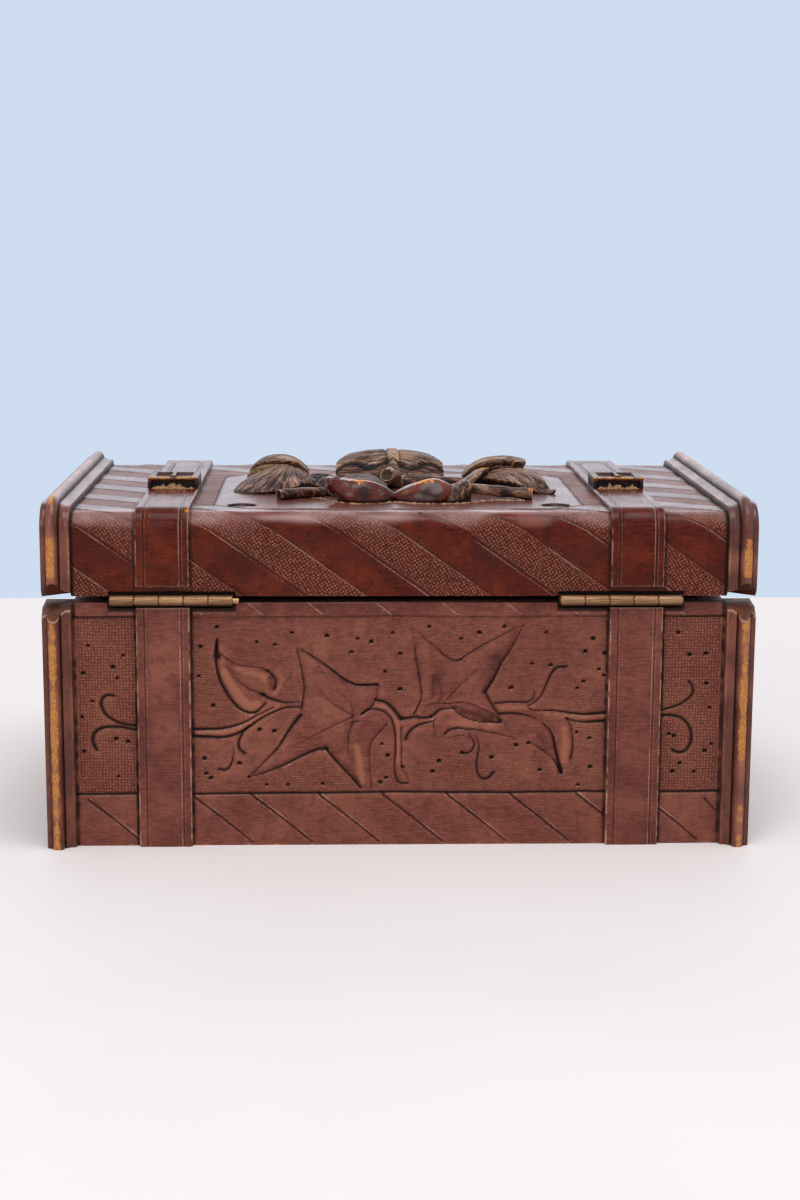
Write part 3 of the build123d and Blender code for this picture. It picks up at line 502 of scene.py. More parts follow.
DOTS = [
    (-102.1, 67.8), (-90.6, 64.5), (-94, 60.7), (-92.7, 56.9), (-103.8, 58.7), (-101, 49.2), (-104.5, 43.9),
    (-93.5, 36.5), (-89.6, 35.5), (-104.1, 32.2), (-93, 23.6), (-60, 74), (-65.4, 67.5), (-66, 57.5),
    (-61.5, 47.6), (-47, 69), (-41, 68), (-35.5, 72), (-24, 71), (-14, 70), (-9.5, 69), (-16, 65.5), (-2.5, 72),
    (0, 65), (-5, 59), (0, 53), (-46.3, 39.5), (-41.5, 39), (-64.5, 29.7), (-53, 28), (-64, 24.5), (-62.5, 23),
    (-49.8, 23.4), (-44, 20.6), (-37, 20.6), (-25.5, 20.9), (-6, 34.4), (-4, 30.6), (-6.4, 21.4), (-4.5, 22.9),
    (1, 26.6), (9.5, 74), (20, 70), (26, 72), (34.2, 74), (48, 72), (63.5, 70), (61, 65.6), (67.4, 65),
    (43.5, 61.5), (49.6, 61), (65.6, 59.6), (67.3, 57.6), (36.6, 53.4), (60.6, 55.5), (58.6, 53.2),
    (58.7, 38.2), (63, 36.2), (42.7, 34.6), (38.6, 34), (20.6, 31.4), (30.5, 29.8), (13, 28.6), (11, 25),
    (46.6, 25.4), (63.4, 26.4), (59.4, 20.2), (91.6, 71.9), (95.5, 64.5), (100.9, 64.9), (101.4, 54.7),
    (102.7, 46.5), (91.1, 36.9), (89.4, 37.5), (103.7, 34), (101.6, 31.7), (93.3, 27.5), (91, 24.7),
    (98.1, 24.6),
]
LEAF_PLATES = [
    # outline, how much darker or lighter than the ground
    ([(-33.4, 65.9), (-22.5, 60.3), (-13.6, 54.3), (-7.4, 54.1),
     (-8.6, 47.4), (-12.1, 45.2), (-3.6, 42.1), (-9.4, 37.2),
     (-10, 25.8), (-12.5, 20.1), (-17.6, 24.8), (-24.4, 32.4),
     (-32.6, 30), (-50.2, 23), (-39.6, 34.2), (-32, 46), (-31.5, 54.7)], -0.14),
    ([(3.8, 72.9), (9.3, 67.8), (17.8, 62.2), (27.2, 65.7),
     (40.5, 74.1), (35.2, 62.7), (28.4, 52.5), (33.5, 41.2),
     (23.4, 46.8), (14.4, 47.9), (7.4, 44.8), (4.9, 43.8), (7.1, 52.5), (4.8, 62.7)], -0.22),
    ([(-60.1, 69), (-56.2, 62.9), (-44.4, 59.3), (-40.4, 55.7),
     (-41.5, 51.6), (-45.5, 48.1), (-49, 45.5), (-53.4, 47.6), (-58.3, 54.7)], 0.1),
    ([(38.5, 42.2), (46.6, 42.7), (56.6, 42.1), (57.8, 33.8), (54.5, 23.5), (50.8, 29.7), (42.7, 34.9)], -0.05),
    ([(11.4, 43.3), (14.4, 47.4), (23.4, 47.4), (33.5, 41.2),
     (37.6, 37), (23.5, 39.1), (15.5, 38.1), (12.5, 36.1), (11.1, 39.2)], 0),
]
# Where the slanted cuts across the borders start: between the corners, at the corners, and along the top
LOW_SLANTS = (-69.1, -49.4, -27.1, -6, 15.3, 36.3, 58.6)
END_SLANTS = [[(-103.1, 15.8), (-95.1, 9.4), (-86.5, 2.1)], [(85.8, 12.6), (92.8, 7.2), (99.8, 1)],
              [(101.9, 15.5), (105.6, 11.3)]]
HIGH_SLANTS = (-50.2, -30.5, -8.2, 13.5, 34.3, 53, 88, -70)
GROUND = -0.35
FIELD_TOP = CASE_TOP - TOP_BORDER
STRAP_INNER = STRAP_X - STRAP_WIDTH / 2
STRAP_OUTER = STRAP_X + STRAP_WIDTH / 2
UNDER_STRAPS = [(-STRAP_OUTER + 0.8, -STRAP_INNER - 0.8), (STRAP_INNER + 0.8, STRAP_OUTER - 0.8)]


def cut_vine(r):
    """Leaves, stems and tendrils, and the strokes of painted highlight and shade on them."""
    for outline, shade in LEAF_PLATES:
        plate = softened(inside(r.u, r.v, outline).astype(float), 2)
        r.stipple *= 1 - 0.8 * plate
        r.glaze_and_shading += shade * plate
        r.h += 0.16 * plate
    for line, width, depth, ends, left, right, reach in LEAF_CUTS:
        r.cut(rounded(line), width, depth, ends, (left, right, reach))
    for line, width, depth, ends in STEM_CUTS:
        r.cut(rounded(line), width, depth, ends, dirt=1.0)
    for line, width, amount, lift in SHADING_STROKES:
        r.stroke(rounded(line), width, amount, lift)


def raise_borders(r):
    """Borders and strap beds stand at the face, the field between is sunk. Gives back where the field is."""
    u, v = r.u, r.v
    wobbly = v + 0.25 * noise(u, 0 * v, 30.0) + 0.08 * noise(u, 0 * v, 6.0)
    from_strap = np.abs(np.abs(u) - STRAP_X) - STRAP_WIDTH / 2
    field = (smooth(-0.1, 0.4, wobbly - BOTTOM_BORDER) * smooth(0.1, -0.4, wobbly - FIELD_TOP)
             * smooth(CASE_HALF - 1.2, CASE_HALF - 1.8, np.abs(u)) * smooth(0.2, 0.6, from_strap))
    r.h = field * (r.h + GROUND) + (1 - field) * 0.02 * noise(u, v, 6.0, 2)
    for tone in (r.dirt, r.rim, r.stipple, r.glaze_and_shading):
        tone *= field
    r.stipple += 0.16 * (1 - field)
    r.glaze_and_shading += (1 - field) * (0.15 * noise(u, v, 11.0, 6) - 0.12 - 0.4 * smooth(FIELD_TOP - 1, FIELD_TOP, v))
    r.groove(bell(wobbly - BOTTOM_BORDER, 0.42), 0.7, 1.1)
    # the dark line under the upper border: dirt in the groove, and painted shadow under the border's edge
    r.groove(bell(wobbly - FIELD_TOP, 0.32) * (0.6 + 0.8 * smooth(60, 80, np.abs(u))), 0.45, 0.8)
    # darker beside the straps and the ends: dirt, and painted shadow beside the proud straps
    edge = np.minimum(np.abs(from_strap - 0.45), np.abs(CASE_HALF - 0.5 - np.abs(u)))
    beside = bell(edge, 0.65) * (0.8 + 0.35 * noise(u, v, 2.2, 8))
    r.h -= 0.3 * beside * (np.abs(u) < CASE_HALF - 0.6)
    r.soil_and_shade(beside)
    return field


def punch_dots(r):
    for x, z in DOTS:
        w = r.near([(x, z)], 2.5)
        size = 0.46 + 0.1 * math.sin(7 * x + 3 * z)
        du = r.u[w] - x
        pit = smooth(size + 0.22, size - 0.12, np.hypot(du / 1.25, r.v[w] - z - 0.15 * du * math.sin(5 * x)))
        r.h[w] -= 0.9 * pit
        r.soil_and_shade(1.7 * pit, w)
        r.stipple[w] *= 1 - pit


def cut_slants(r):
    """Slanted cuts across the lower border, and short ones across the upper."""
    low = [[(x, BOTTOM_BORDER - 0.3), (x + 10.2, 9.4), (x + 20.3, 1.0)] for x in LOW_SLANTS]
    for path in [*low, *END_SLANTS]:
        r.cut(path, 0.4, 0.5, (1.0, 0.8), (0.18, 0.0, 1.6), 0.95)
        ridge = bell(along(r.u, r.v, np.array(path) + (0.62, 0.42))[0], 0.27)
        r.pale(0.95 * ridge * (0.75 + 0.5 * noise(r.u, r.v, 5.0, 3)))
    for x in HIGH_SLANTS:
        path = [(x, CASE_TOP + 0.3), (x + 5.4, FIELD_TOP + 0.6)]
        r.cut(path, 0.3, 0.3, (1.0, 0.8), dirt=0.2)
        r.pale(0.85 * bell(along(r.u, r.v, path)[0], 0.24))


def sink_seats(r, from_edge, depth):
    """The beds of the hinge plates, reaching so far down from the edge. Gives back where each is."""
    down = smooth(depth, depth - 0.2, from_edge)
    seats = [(x, down * smooth(HINGE_HALF + 0.15, HINGE_HALF - 0.15, np.abs(r.u - x))) for x in HINGE_X]
    for _, seat in seats:
        r.h = r.h * (1 - seat) - SEAT_DEPTH * seat
        r.soil_and_shade(seat)
    return seats


def long_face(with_seats):
    """The carved face of a long wall, seen from outside: u to the right, v up."""
    step = 0.42 if with_seats else 0.5
    r = Relief(stations(-CASE_HALF, CASE_HALF, step, UNDER_STRAPS), stations(0, CASE_TOP, step))
    u, v = r.u, r.v
    r.h += 0.06 * noise(u, v, 9.0, 1) + 0.03 * noise(u, v, 2.5, 1)
    # the matting is a clear net beyond the straps, and fine ripples between them
    beyond = smooth(STRAP_X - 8, STRAP_X, np.abs(u))
    r.stipple += np.clip(0.36 + 0.64 * beyond + 0.25 * noise(u, v, 16.0, 4), 0.2, 1.0)
    r.glaze_and_shading += 0.22 * noise(u, v, 13.0, 5) + 0.25 * smooth(-80.0, -105.0, u) * smooth(20, 60, v)
    cut_vine(r)
    field = raise_borders(r)
    punch_dots(r)
    cut_slants(r)
    r.weather_and_shade(4)
    r.glaze_and_shading += 0.16 * noise(u, v, 1.2, 13) + 0.16 * noise(u, v, 6.0, 14)
    r.soil_and_shade((1 - field) * 0.22 * smooth(0.35, 0.75, noise(u, 6 * v, 5.0, 15)))
    # a pale line along the top edge: partly rubbed, partly a painted highlight where light from above catches it
    r.pale(0.45 * smooth(CASE_TOP - 0.5, CASE_TOP, v) * (0.6 + 0.4 * noise(u, v, 5)))
    # rubbed bare along the foot, and crumbs of old wax
    r.wear = 0.5 * smooth(1.2, 0.2, v) * (0.5 + 0.5 * noise(u, v, 6.0, 6))
    r.pale(0.5 * (0.4 + noise(u, v, 0.6, 9)) * smooth(1.6, 0.0, v))
    if with_seats:
        below = CASE_TOP - v
        for x, seat in sink_seats(r, below, 1.55):
            away = np.abs(u - x) - HINGE_HALF
            shadow = smooth(1.2, -0.4, away) * smooth(3.3, 2.3, below)
            r.soil_and_shade(0.85 * shadow)
            r.rim *= 1 - seat
            r.rim = np.maximum(r.rim * (1 - shadow), 0.5 * bell(below - 3.4, 0.35) * smooth(0.5, 0.0, away))
    return r


def long_wall(name, side):
    """side is -1 for the back and 1 for the front."""
    r = long_face(side < 0)
    x = -side * r.u
    surface = np.stack([x, side * (DEPTH_HALF + np.minimum(r.h, 0.02)), r.v], axis=-1)
    return walled(name, r, surface, 1, side * (DEPTH_HALF - WALL))


def end_face(half, low, high, borders):
    """The stippled face of an end wall."""
    r = Relief(stations(-half, half, 0.65), stations(low, high, 0.65))
    u, v = r.u, r.v
    if borders:
        field = (smooth(half - 1.8, half - 2.2, np.abs(u)) * smooth(BOTTOM_BORDER - 0.1, BOTTOM_BORDER + 0.3, v)
                 * smooth(FIELD_TOP + 0.1, FIELD_TOP - 0.3, v))
    else:
        field = smooth(half - 1.8, half - 2.2, np.abs(u)) * smooth(low + 1.8, low + 2.2, v)
    r.h -= (0.9 if borders else 0.35) * field
    r.dirt = 0.9 * 4 * field * (1 - field)
    r.stipple = field + 0.2 * (1 - field)
    return r


def end_wall(name, side, half, low, high, inner, borders):
    r = end_face(half, low, high, borders)
    surface = np.stack([side * (CASE_HALF + r.h), side * r.u, r.v], axis=-1)
    return walled(name, r, surface, 0, side * inner)


# ---------------------------------------------------------------- lid shell
FLAT_HALF = DEPTH_HALF - EDGE_RADIUS
RISE = LID_TOP - EDGE_RADIUS - LID_BASE
ARC = EDGE_RADIUS * math.pi / 2
S_TOP = RISE + ARC
S_FAR = S_TOP + 2 * FLAT_HALF
S_END = S_FAR + ARC + RISE
S_BOARD = BOARD_BASE - LID_BASE

# the ribbons lean less on the upright faces and more round the edges
BAND_STOPS = [0.0, RISE, S_TOP, S_FAR, S_FAR + ARC, S_END]
FAR_SHIFT = BAND_LEAN * S_FAR + 1.97 * ARC
BAND_SHIFT = [0.0, 1.41 * RISE, BAND_LEAN * S_TOP, BAND_LEAN * S_FAR, FAR_SHIFT, FAR_SHIFT + 1.41 * RISE]

PANEL_HALF, PANEL_BACK, PANEL_FRONT = 61.5, -58.5, 35.0
LADDER_INNER, LADDER_BACK, LADDER_FRONT, LADDER_PITCH = 58.0, -52.0, 36.0, 5.2
PLUG_X, PLUG_Y, PLUG_HOLE = 52.2, -50.5, 4.6


def lid_profile(s):
    """Place and outward direction, in the plane across the box, at a distance s from the lid's back edge."""
    s = np.asarray(s, float)
    mirrored = s > S_END / 2
    t = np.where(mirrored, S_END - s, s)
    angle = np.clip((t - RISE) / EDGE_RADIUS, 0, math.pi / 2)
    y = -FLAT_HALF - EDGE_RADIUS * np.cos(angle) + np.clip(t - S_TOP, 0, None)
    z = LID_BASE + np.clip(t, None, RISE) + EDGE_RADIUS * np.sin(angle)
    sign = np.where(mirrored, -1.0, 1.0)
    return np.stack([y * sign, z], -1), np.stack([-np.cos(angle) * sign, np.sin(angle)], -1)


def lid_y(s):
    """Distance across the top from the middle, at the flat part."""
    return s - S_END / 2


def top_panel(x, y):
    """How far inside the smooth panel's border a place is: an eight-sided frame between the straps."""
    beside, behind, before = PANEL_HALF - np.abs(x), y - PANEL_BACK, PANEL_FRONT - y
    far_corner = (beside * 12 + before * 8 - 96) / math.hypot(12, 8)
    near_corner = (beside * 9 + behind * 11 - 99) / math.hypot(9, 11)
    return np.min([beside, behind, before, far_corner, near_corner], axis=0)


def lid_ribbons(r, rise, on_top, shown):
    """Ribbons that lean across the lid, alternately smooth and stippled, where they show."""
    x, s = r.u, r.v
    turn = (x + np.interp(s, BAND_STOPS, BAND_SHIFT)) / BAND_PITCH - 0.5 + 0.012 * noise(x, s, 25.0, 3)
    signed = (turn - np.round(turn)) * BAND_PITCH * math.sin(math.atan(1 / BAND_LEAN))
    matted = shown * (np.floor(turn) % 2 == 0) * smooth(0.3, 0.9, np.abs(signed))
    r.h -= 0.22 * matted + 0.42 * bell(signed, 0.3) * shown
    here = np.clip(0.75 + 0.45 * noise(x, s, 9.0, 7), 0, 1)
    r.soil_and_shade((0.75 - 0.35 * here) * bell(signed - 0.05, 0.3) * shown)
    r.pale(here * (bell(signed + 0.5, 0.2) + 0.6 * bell(signed - 0.5, 0.2)) * shown)
    r.glaze_and_shading -= 0.4 * np.clip(0.3 + noise(x, 2 * s, 12.0, 8), 0, 1) * (1 - on_top)
    r.glaze_and_shading -= 0.2 * bell(s - 0.55 * RISE, 6.0)
    faded = 0.5 + 0.5 * smooth(2.0, RISE, rise) + 0.25 * noise(x, s, 10.0, 12)
    r.stipple = matted * np.clip(faded, 0.82, 1.0)
    r.glaze_and_shading += 0.3 * matted * smooth(0.4 * RISE, 1.2 * RISE, rise)


def lid_carving(r):
    """Ribbons round the lid, the smooth panel between the straps, and a ladder of cuts at either side of it."""
    x, s = r.u, r.v
    y = lid_y(s)
    rise = np.minimum(s, S_END - s)
    on_top = smooth(S_TOP - 1.0, S_TOP + 0.5, s) * smooth(S_FAR + 1.0, S_FAR - 0.5, s)
    panel = top_panel(x, y)
    between = np.abs(x) < STRAP_INNER
    ladder = (between & (np.abs(x) > LADDER_INNER) & (y > LADDER_BACK) & (y < LADDER_FRONT) & (panel < 0)
              & (np.abs(y) < FLAT_HALF))
    inner = between * smooth(-0.1, 0.1, panel) * on_top
    lid_ribbons(r, rise, on_top, (1 - inner) * (1 - ladder))
    # a pale haze is painted along the rounded edge and on the smooth panel: painted sheen standing for the reflection
    # of the pale wall behind, partly dusty wax
    painted_sheen = smooth(RISE - 0.5, RISE + 5.0, rise) * smooth(S_TOP + 4.0, S_TOP + 1.0, rise)
    r.glaze_and_shading += painted_sheen * (0.5 + 0.4 * noise(x, 3 * s, 11.0, 9)) + 0.22 * inner
    r.groove(bell(panel, 0.38) * between * on_top, 0.45, 1.0)
    rung = bell((y / LADDER_PITCH - np.round(y / LADDER_PITCH)) * LADDER_PITCH, 0.45) * ladder
    r.groove(rung, 0.3, 0.8)
    r.h -= 0.12 * ladder
    r.stipple = np.maximum(r.stipple, 0.6 * ladder)
    # darker beside the straps and along the lid's ends: dirt, and painted shade where the straps and mouldings stand
    # proud
    r.soil_and_shade(0.65 * bell(np.abs(np.abs(x) - STRAP_X) - STRAP_WIDTH / 2 - 0.5, 0.7))
    r.soil_and_shade(0.9 * bell(CASE_HALF - 0.2 - np.abs(x), 0.9))
    r.h += 0.05 * noise(x, s, 7.0, 4) + 0.02 * noise(x, s, 2.0, 5)
    for plug_x in (-PLUG_X, PLUG_X):
        d = np.hypot(x - plug_x, y - PLUG_Y)
        hole = smooth(PLUG_HOLE + 0.15, PLUG_HOLE - 0.15, d)
        r.h = r.h * (1 - hole) - 1.6 * hole
        r.dirt = np.maximum(r.dirt * (1 - hole), smooth(PLUG_HOLE + 0.6, PLUG_HOLE, d))
    # a worm hole
    worm = np.hypot(x - 6.5, s - S_TOP + 2.2)
    r.h -= smooth(0.75, 0.45, worm)
    r.soil_and_shade(1.5 * smooth(0.85, 0.5, worm))
    r.pale(0.45 * smooth(0.7, 0.0, rise) * (0.6 + 0.4 * noise(x, s, 6)))
    return r


def lid_surface(r, lift=0.0):
    place, outward = lid_profile(r.v)
    return np.concatenate([r.u[..., None], place + outward * (r.h + lift)[..., None]], axis=-1)


def lid_rail(name, back):
    span = (0.0, S_BOARD) if back else (S_END - S_BOARD, S_END)
    r = lid_carving(Relief(stations(-CASE_HALF, CASE_HALF, 0.40, UNDER_STRAPS), stations(*span, 0.40)))
    if back:
        sink_seats(r, r.v, 1.5)
    return walled(name, r, lid_surface(r), 1, (-1 if back else 1) * (DEPTH_HALF - WALL))


def lid_top_board(name):
    rows = np.concatenate([
        stations(S_BOARD, S_TOP + 6, 0.42), stations(S_TOP + 6, S_FAR, 0.60)[1:],
        stations(S_FAR, S_END - S_BOARD, 0.42)[1:],
    ])
    r = lid_carving(Relief(stations(-CASE_HALF, CASE_HALF, 0.52, UNDER_STRAPS), rows))
    share = (np.arange(len(rows)) + 0.5) / len(rows)
    below = np.stack([-DEPTH_HALF + 2 * DEPTH_HALF * share, np.full(len(rows), BOARD_BASE)], -1)
    return walled(name, r, lid_surface(r), slice(1, 3), below[:, None, :])


# ---------------------------------------------------------------- mouldings
def moulding_section():
    """Band, bead, cove and fillet, and the square block behind. Gives how far in from the end and how proud
    each place is, and its share of the crest's wear, of rubbed corners and of dirty hollows."""
    points = [(0.0, 0.0), (0.05, 1.6), (0.15, 2.9), (0.45, 3.1), (1.5, 3.12), (1.75, 3.05), (1.9, 2.75)]
    for k in range(15):
        a = math.radians(-8 + 196 * k / 14)
        points.append((3.9 - 2.02 * math.cos(a), 3.05 + 2.2 * math.sin(a)))
    points += [(6.1, 2.55), (6.45, 2.9), (6.9, 2.55), (7.5, 2.15), (8.0, 1.9), (8.35, 1.95), (8.9, 2.0),
               (9.3, 1.85), (9.48, 1.5), (MOULDING_WIDTH, 0.0)]
    inward, proud = np.array(points).T
    crest = bell(inward - 3.5, 1.5) * (proud > 3.6) + 0.55 * bell(inward - 9.15, 0.3)
    corner = 0.45 * bell(inward - 9.2, 0.35) + 0.35 * bell(inward - 1.75, 0.2) + 0.5 * bell(inward - 0.3, 0.3)
    hollow = (np.maximum(bell(inward - 1.9, 0.28) * (proud < 3), bell(inward - 6.1, 0.3))
              + bell(proud, 0.8) * (inward > 5))
    shares = [np.append(share, (0.0, 0.0)) for share in (crest, corner, np.clip(hollow, 0, 1))]
    return np.append(inward, (MOULDING_WIDTH, 0.0)), np.append(proud, (-WALL, -WALL)), shares


def moulding_tones(run, shares, bead_wear, shift):
    """Tones of a moulding, one ring for each place along it."""
    crest, corner, hollow = shares
    u, v = np.broadcast_arrays(run[:, None], 3 * crest)
    bead_wear = bead_wear[:, None]
    ragged = noise(u, v, 2.1, shift) * 0.35 + noise(u, v, 7.0, shift) * 0.3
    tones = np.zeros(u.shape + (5,))
    tones[..., WEAR] = crest * np.clip(bead_wear + ragged * (bead_wear > 0.05), 0, 1)
    tones[..., RIM] = 0.8 * corner * (0.6 + 0.4 * noise(u, v, 3.0, shift + 1))
    tones[..., DIRT_AND_SHADE] = hollow
    # the bead's crest painted lighter: painted sheen, over a patchy tone of the wood
    tones[..., GLAZE_AND_SHADING] = 0.5 * noise(u, v, 9.0, shift + 2) + 0.6 * crest
    return tones


def moulding(name, rings, tones, inward, run, proud):
    places = np.stack(np.broadcast_arrays(inward, run[:, None], proud), -1)
    return ring_loft(name, rings, tones, places, sharp=38)


BEVEL = 0.96


def post(name, side_x, side_y, wear):
    """A corner post: the moulding on its face and a plain block behind, bevelled at the top."""
    inward, proud, shares = moulding_section()
    heights = np.concatenate([[0.0, 0.35], np.linspace(0.7, CASE_TOP - 0.5, int(110 / DETAIL)),
                              [CASE_TOP - 0.25, CASE_TOP]])
    rings = np.zeros((len(heights), len(proud), 3))
    # the top is bevelled down towards the bead, and its outer corner is rounded over
    top = CASE_TOP - np.clip(proud, 0, None) * BEVEL - 0.9 * smooth(1.6, 0.0, inward) * (proud > -WALL + 0.1)
    shrink = 0.35 * smooth(0.8, 0.0, np.minimum(heights, CASE_TOP - heights))[:, None]
    waver = 0.07 * noise(*np.broadcast_arrays(heights[:, None], proud), 6.0, side_x + 2) * (proud > 2) - 0.08
    rings[..., 0] = side_x * (END_HALF - np.clip(inward, shrink, MOULDING_WIDTH))
    rings[..., 1] = side_y * (DEPTH_HALF + np.where(proud > 0.2, proud - 0.5 * shrink + waver, proud))
    rings[..., 2] = (heights / CASE_TOP)[:, None] * top
    tones = moulding_tones(heights, shares, wear(heights), 3 + side_x)
    tones[-1] = (0.35, 0.45, 0.0, 0.0, -0.2)
    tones[-3:-1, :, RIM] = np.maximum(tones[-3:-1, :, RIM], 0.95 * (proud > 1.5))
    tones[-3:-1, :, WEAR] = 0.0
    return moulding(name, rings, tones, inward * 3 + 40 * side_x, heights, proud)


def lid_moulding(name, side_x, wear):
    """The moulding round one end of the lid, with the end rail behind it."""
    inward, proud, shares = moulding_section()
    run = np.concatenate([
        [0.0], stations(0.2, RISE, 0.8), stations(RISE, S_TOP, 0.5)[1:], stations(S_TOP, S_FAR, 1.6)[1:],
        stations(S_FAR, S_FAR + ARC, 0.5)[1:], stations(S_FAR + ARC, S_END - 0.2, 0.8)[1:], [S_END],
    ])
    place, outward = lid_profile(run)
    rings = np.zeros((len(run), len(proud), 3))
    waver = (0.09 * noise(*np.broadcast_arrays(run[:, None], proud), 7.0, side_x + 4) - 0.1) * (proud > 2)
    rings[..., 0] = side_x * (END_HALF - inward)
    rings[..., 1:] = place[:, None, :] + outward[:, None, :] * (proud + waver)[..., None]
    # inside the corners the rail's inner edge turns square
    inner = proud < -WALL + 0.1
    rings[:, inner, 1] = np.clip(rings[:, inner, 1], -DEPTH_HALF + WALL, DEPTH_HALF - WALL)
    rings[:, inner, 2] = np.minimum(rings[:, inner, 2], BOARD_BASE)
    # lower ends bevelled up towards the bead
    level = np.clip(1 - np.minimum(run, S_END - run) / 8.0, 0, 1)
    rings[..., 2] += level[:, None] * np.clip(proud, 0, None) * BEVEL
    tones = moulding_tones(run, shares, wear(run), 6 + side_x)
    # the end faces look down: painted darker as shade, with a pale painted highlight on the ring beside
    for end, beside in ((0, 1), (-1, -2)):
        tones[end] = (0.45, 0.2, 0.0, 0.0, -0.4)
        tones[beside, :, RIM] = np.maximum(tones[beside, :, RIM], 0.45 * (proud > 1.5))
    return moulding(name, rings, tones, inward * 3 + 60 * side_x, run, proud)


# ---------------------------------------------------------------- straps
STRAP_GROOVE = STRAP_WIDTH / 2 - 2.7
STRAP_LIFT = 3.2
BUCKLE_FRONT, BUCKLE_LENGTH, BUCKLE_HEIGHT = -20.0, 17.0, 3.9
BUCKLE_BACK = BUCKLE_FRONT + BUCKLE_LENGTH
STRAP_TOP = LID_TOP + STRAP_PROUD
BUCKLE_TOP = STRAP_TOP + BUCKLE_HEIGHT


def strap_relief(length_stations, pale, groove=STRAP_GROOVE):
    """A strap from edge to edge: rounded arrises, a pair of fine lines near each, and pale dust in them."""
    half = STRAP_WIDTH / 2
    rim = np.linspace(half - 0.5, half, 4)
    across = np.unique(np.concatenate([-rim, np.arange(-half + 0.5, half - 0.5, 0.36 * DETAIL), rim]))
    r = Relief(across, length_stations)
    a = np.abs(r.u)
    narrow = a - (groove(r.v) if callable(groove) else groove)
    r.h -= 0.45 * smooth(half - 0.55, half, a) ** 2 + 0.3 * bell(narrow, 0.26) + 0.2 * bell(narrow + 1.0, 0.2)
    r.soil_and_shade(0.7 * bell(narrow, 0.3))
    dust = bell(narrow + 0.5, 0.22) * (0.85 + 0.3 * noise(r.u, r.v, 4.0, 3)) + 0.7 * bell(narrow - 0.5, 0.18)
    r.rim = pale * dust + 0.85 * bell(half - 0.2 - a, 0.3) * (0.7 + 0.5 * noise(r.u, r.v, 2.0, 2))
    r.glaze_and_shading += 0.3 * noise(r.u, r.v, 8.0, 4) - 0.15 * smooth(-0.2, 0.2, narrow)
    r.h += 0.04 * noise(r.u, r.v, 5.0, 7)
    return r


def case_strap(name, x, side):
    top = CASE_TOP - 1.4
    r = strap_relief(stations(0.0, top, 0.7), 0.72)
    r.glaze_and_shading -= 0.15
    r.h -= 0.4 * smooth(top - 0.5, top, r.v) ** 2
    # the top end painted pale: a painted highlight where it faces up, partly dust
    r.pale(0.7 * smooth(top - 0.8, top - 0.2, r.v))
    surface = np.stack([x - side * r.u, side * (DEPTH_HALF + STRAP_PROUD + r.h), r.v], axis=-1)
    return walled(name, r, surface, 1, side * DEPTH_HALF, (x, 0, 0))


def lid_strap(name, x):
    half = STRAP_WIDTH / 2
    rows = np.concatenate([
        stations(STRAP_LIFT, S_TOP + 2, 0.55), stations(S_TOP + 2, S_FAR, 0.75)[1:],
        stations(S_FAR, S_END - STRAP_LIFT, 0.55)[1:],
    ])

    def converge(s):
        y = lid_y(s)
        near = smooth(BUCKLE_FRONT - 20, BUCKLE_FRONT - 9, y) * smooth(BUCKLE_FRONT + 2, BUCKLE_FRONT, y)
        return STRAP_GROOVE - 1.1 * near

    r = strap_relief(rows, 0.85, converge)
    y = lid_y(r.v)
    a = np.abs(r.u)
    # the tongue's end, outlined beyond the buckle: round on the left strap, pointed on the right
    tip = (53.0 + 6.76 * np.sqrt(np.clip(1 - (r.u / 5.3) ** 2, 0, 1))) if x < 0 else 61.0 - 1.35 * a
    outline = np.minimum(4.9 - a, (tip - y) * (1.0 if x < 0 else 0.6))
    r.groove(bell(outline, 0.4) * smooth(22.0, 24.0, y), 0.35, 0.8)
    end = np.minimum(r.v - STRAP_LIFT, S_END - STRAP_LIFT - r.v)
    r.h -= 0.4 * smooth(0.6, 0.0, end) ** 2
    r.pale(0.55 * smooth(1.0, 0.3, end))
    r.soil_and_shade(smooth(BUCKLE_FRONT - 0.8, BUCKLE_FRONT + 0.6, y) * smooth(BUCKLE_BACK + 0.8, BUCKLE_BACK - 0.6, y))
    # worn where it bends over the edge
    bend = bell(r.v - RISE - 0.7 * ARC, 2.2)
    r.wear = bend * smooth(half - 2.8, half - 0.5, r.u) * 0.5 * (x < 0) + bend * 0.08
    surface = lid_surface(r, STRAP_PROUD)
    surface[..., 0] += x
    base, _ = lid_profile(rows)
    return walled(name, r, surface, slice(1, 3), base[:, None, :], (x, 0, 0))


# ---------------------------------------------------------------- buckles
def plain_box(low, high):
    corners = [(x, y, z) for z in (low[2], high[2]) for y in (low[1], high[1]) for x in (low[0], high[0])]
    faces = [[0, 2, 3, 1], [4, 5, 7, 6], [0, 1, 5, 4], [2, 6, 7, 3], [0, 4, 6, 2], [1, 3, 7, 5]]
    return make("bar", corners, faces)


def melted(name, parts, voxel, rounds, jitter, jitter_size):
    """Fuses overlapping parts into one skin, softens its edges and makes it a little uneven."""
    obj = joined(name, parts)
    remesh = obj.modifiers.new("fuse", "REMESH")
    remesh.mode = "VOXEL"
    remesh.voxel_size = voxel * MM * (1.0 if DETAIL == 1.0 else 1.6)
    soften = obj.modifiers.new("soften", "SMOOTH")
    soften.iterations = rounds
    soften.factor = 0.5
    depsgraph = bpy.context.evaluated_depsgraph_get()
    mesh = bpy.data.meshes.new_from_object(obj.evaluated_get(depsgraph))
    obj.modifiers.clear()
    old = obj.data
    obj.data = mesh
    bpy.data.meshes.remove(old)
    mesh.name = name
    points = read(mesh.vertices, "co", 3) / MM
    push = jitter * noise(points[:, 0] + 2.3 * points[:, 2], points[:, 1] - 1.7 * points[:, 2], jitter_size, 5)
    points += read(mesh.vertex_normals, "vector", 3) * push[:, None]
    mesh.vertices.foreach_set("co", (points * MM).ravel())
    mesh.polygons.foreach_set("use_smooth", [True] * len(mesh.polygons))
    mesh.update()
    return obj, points


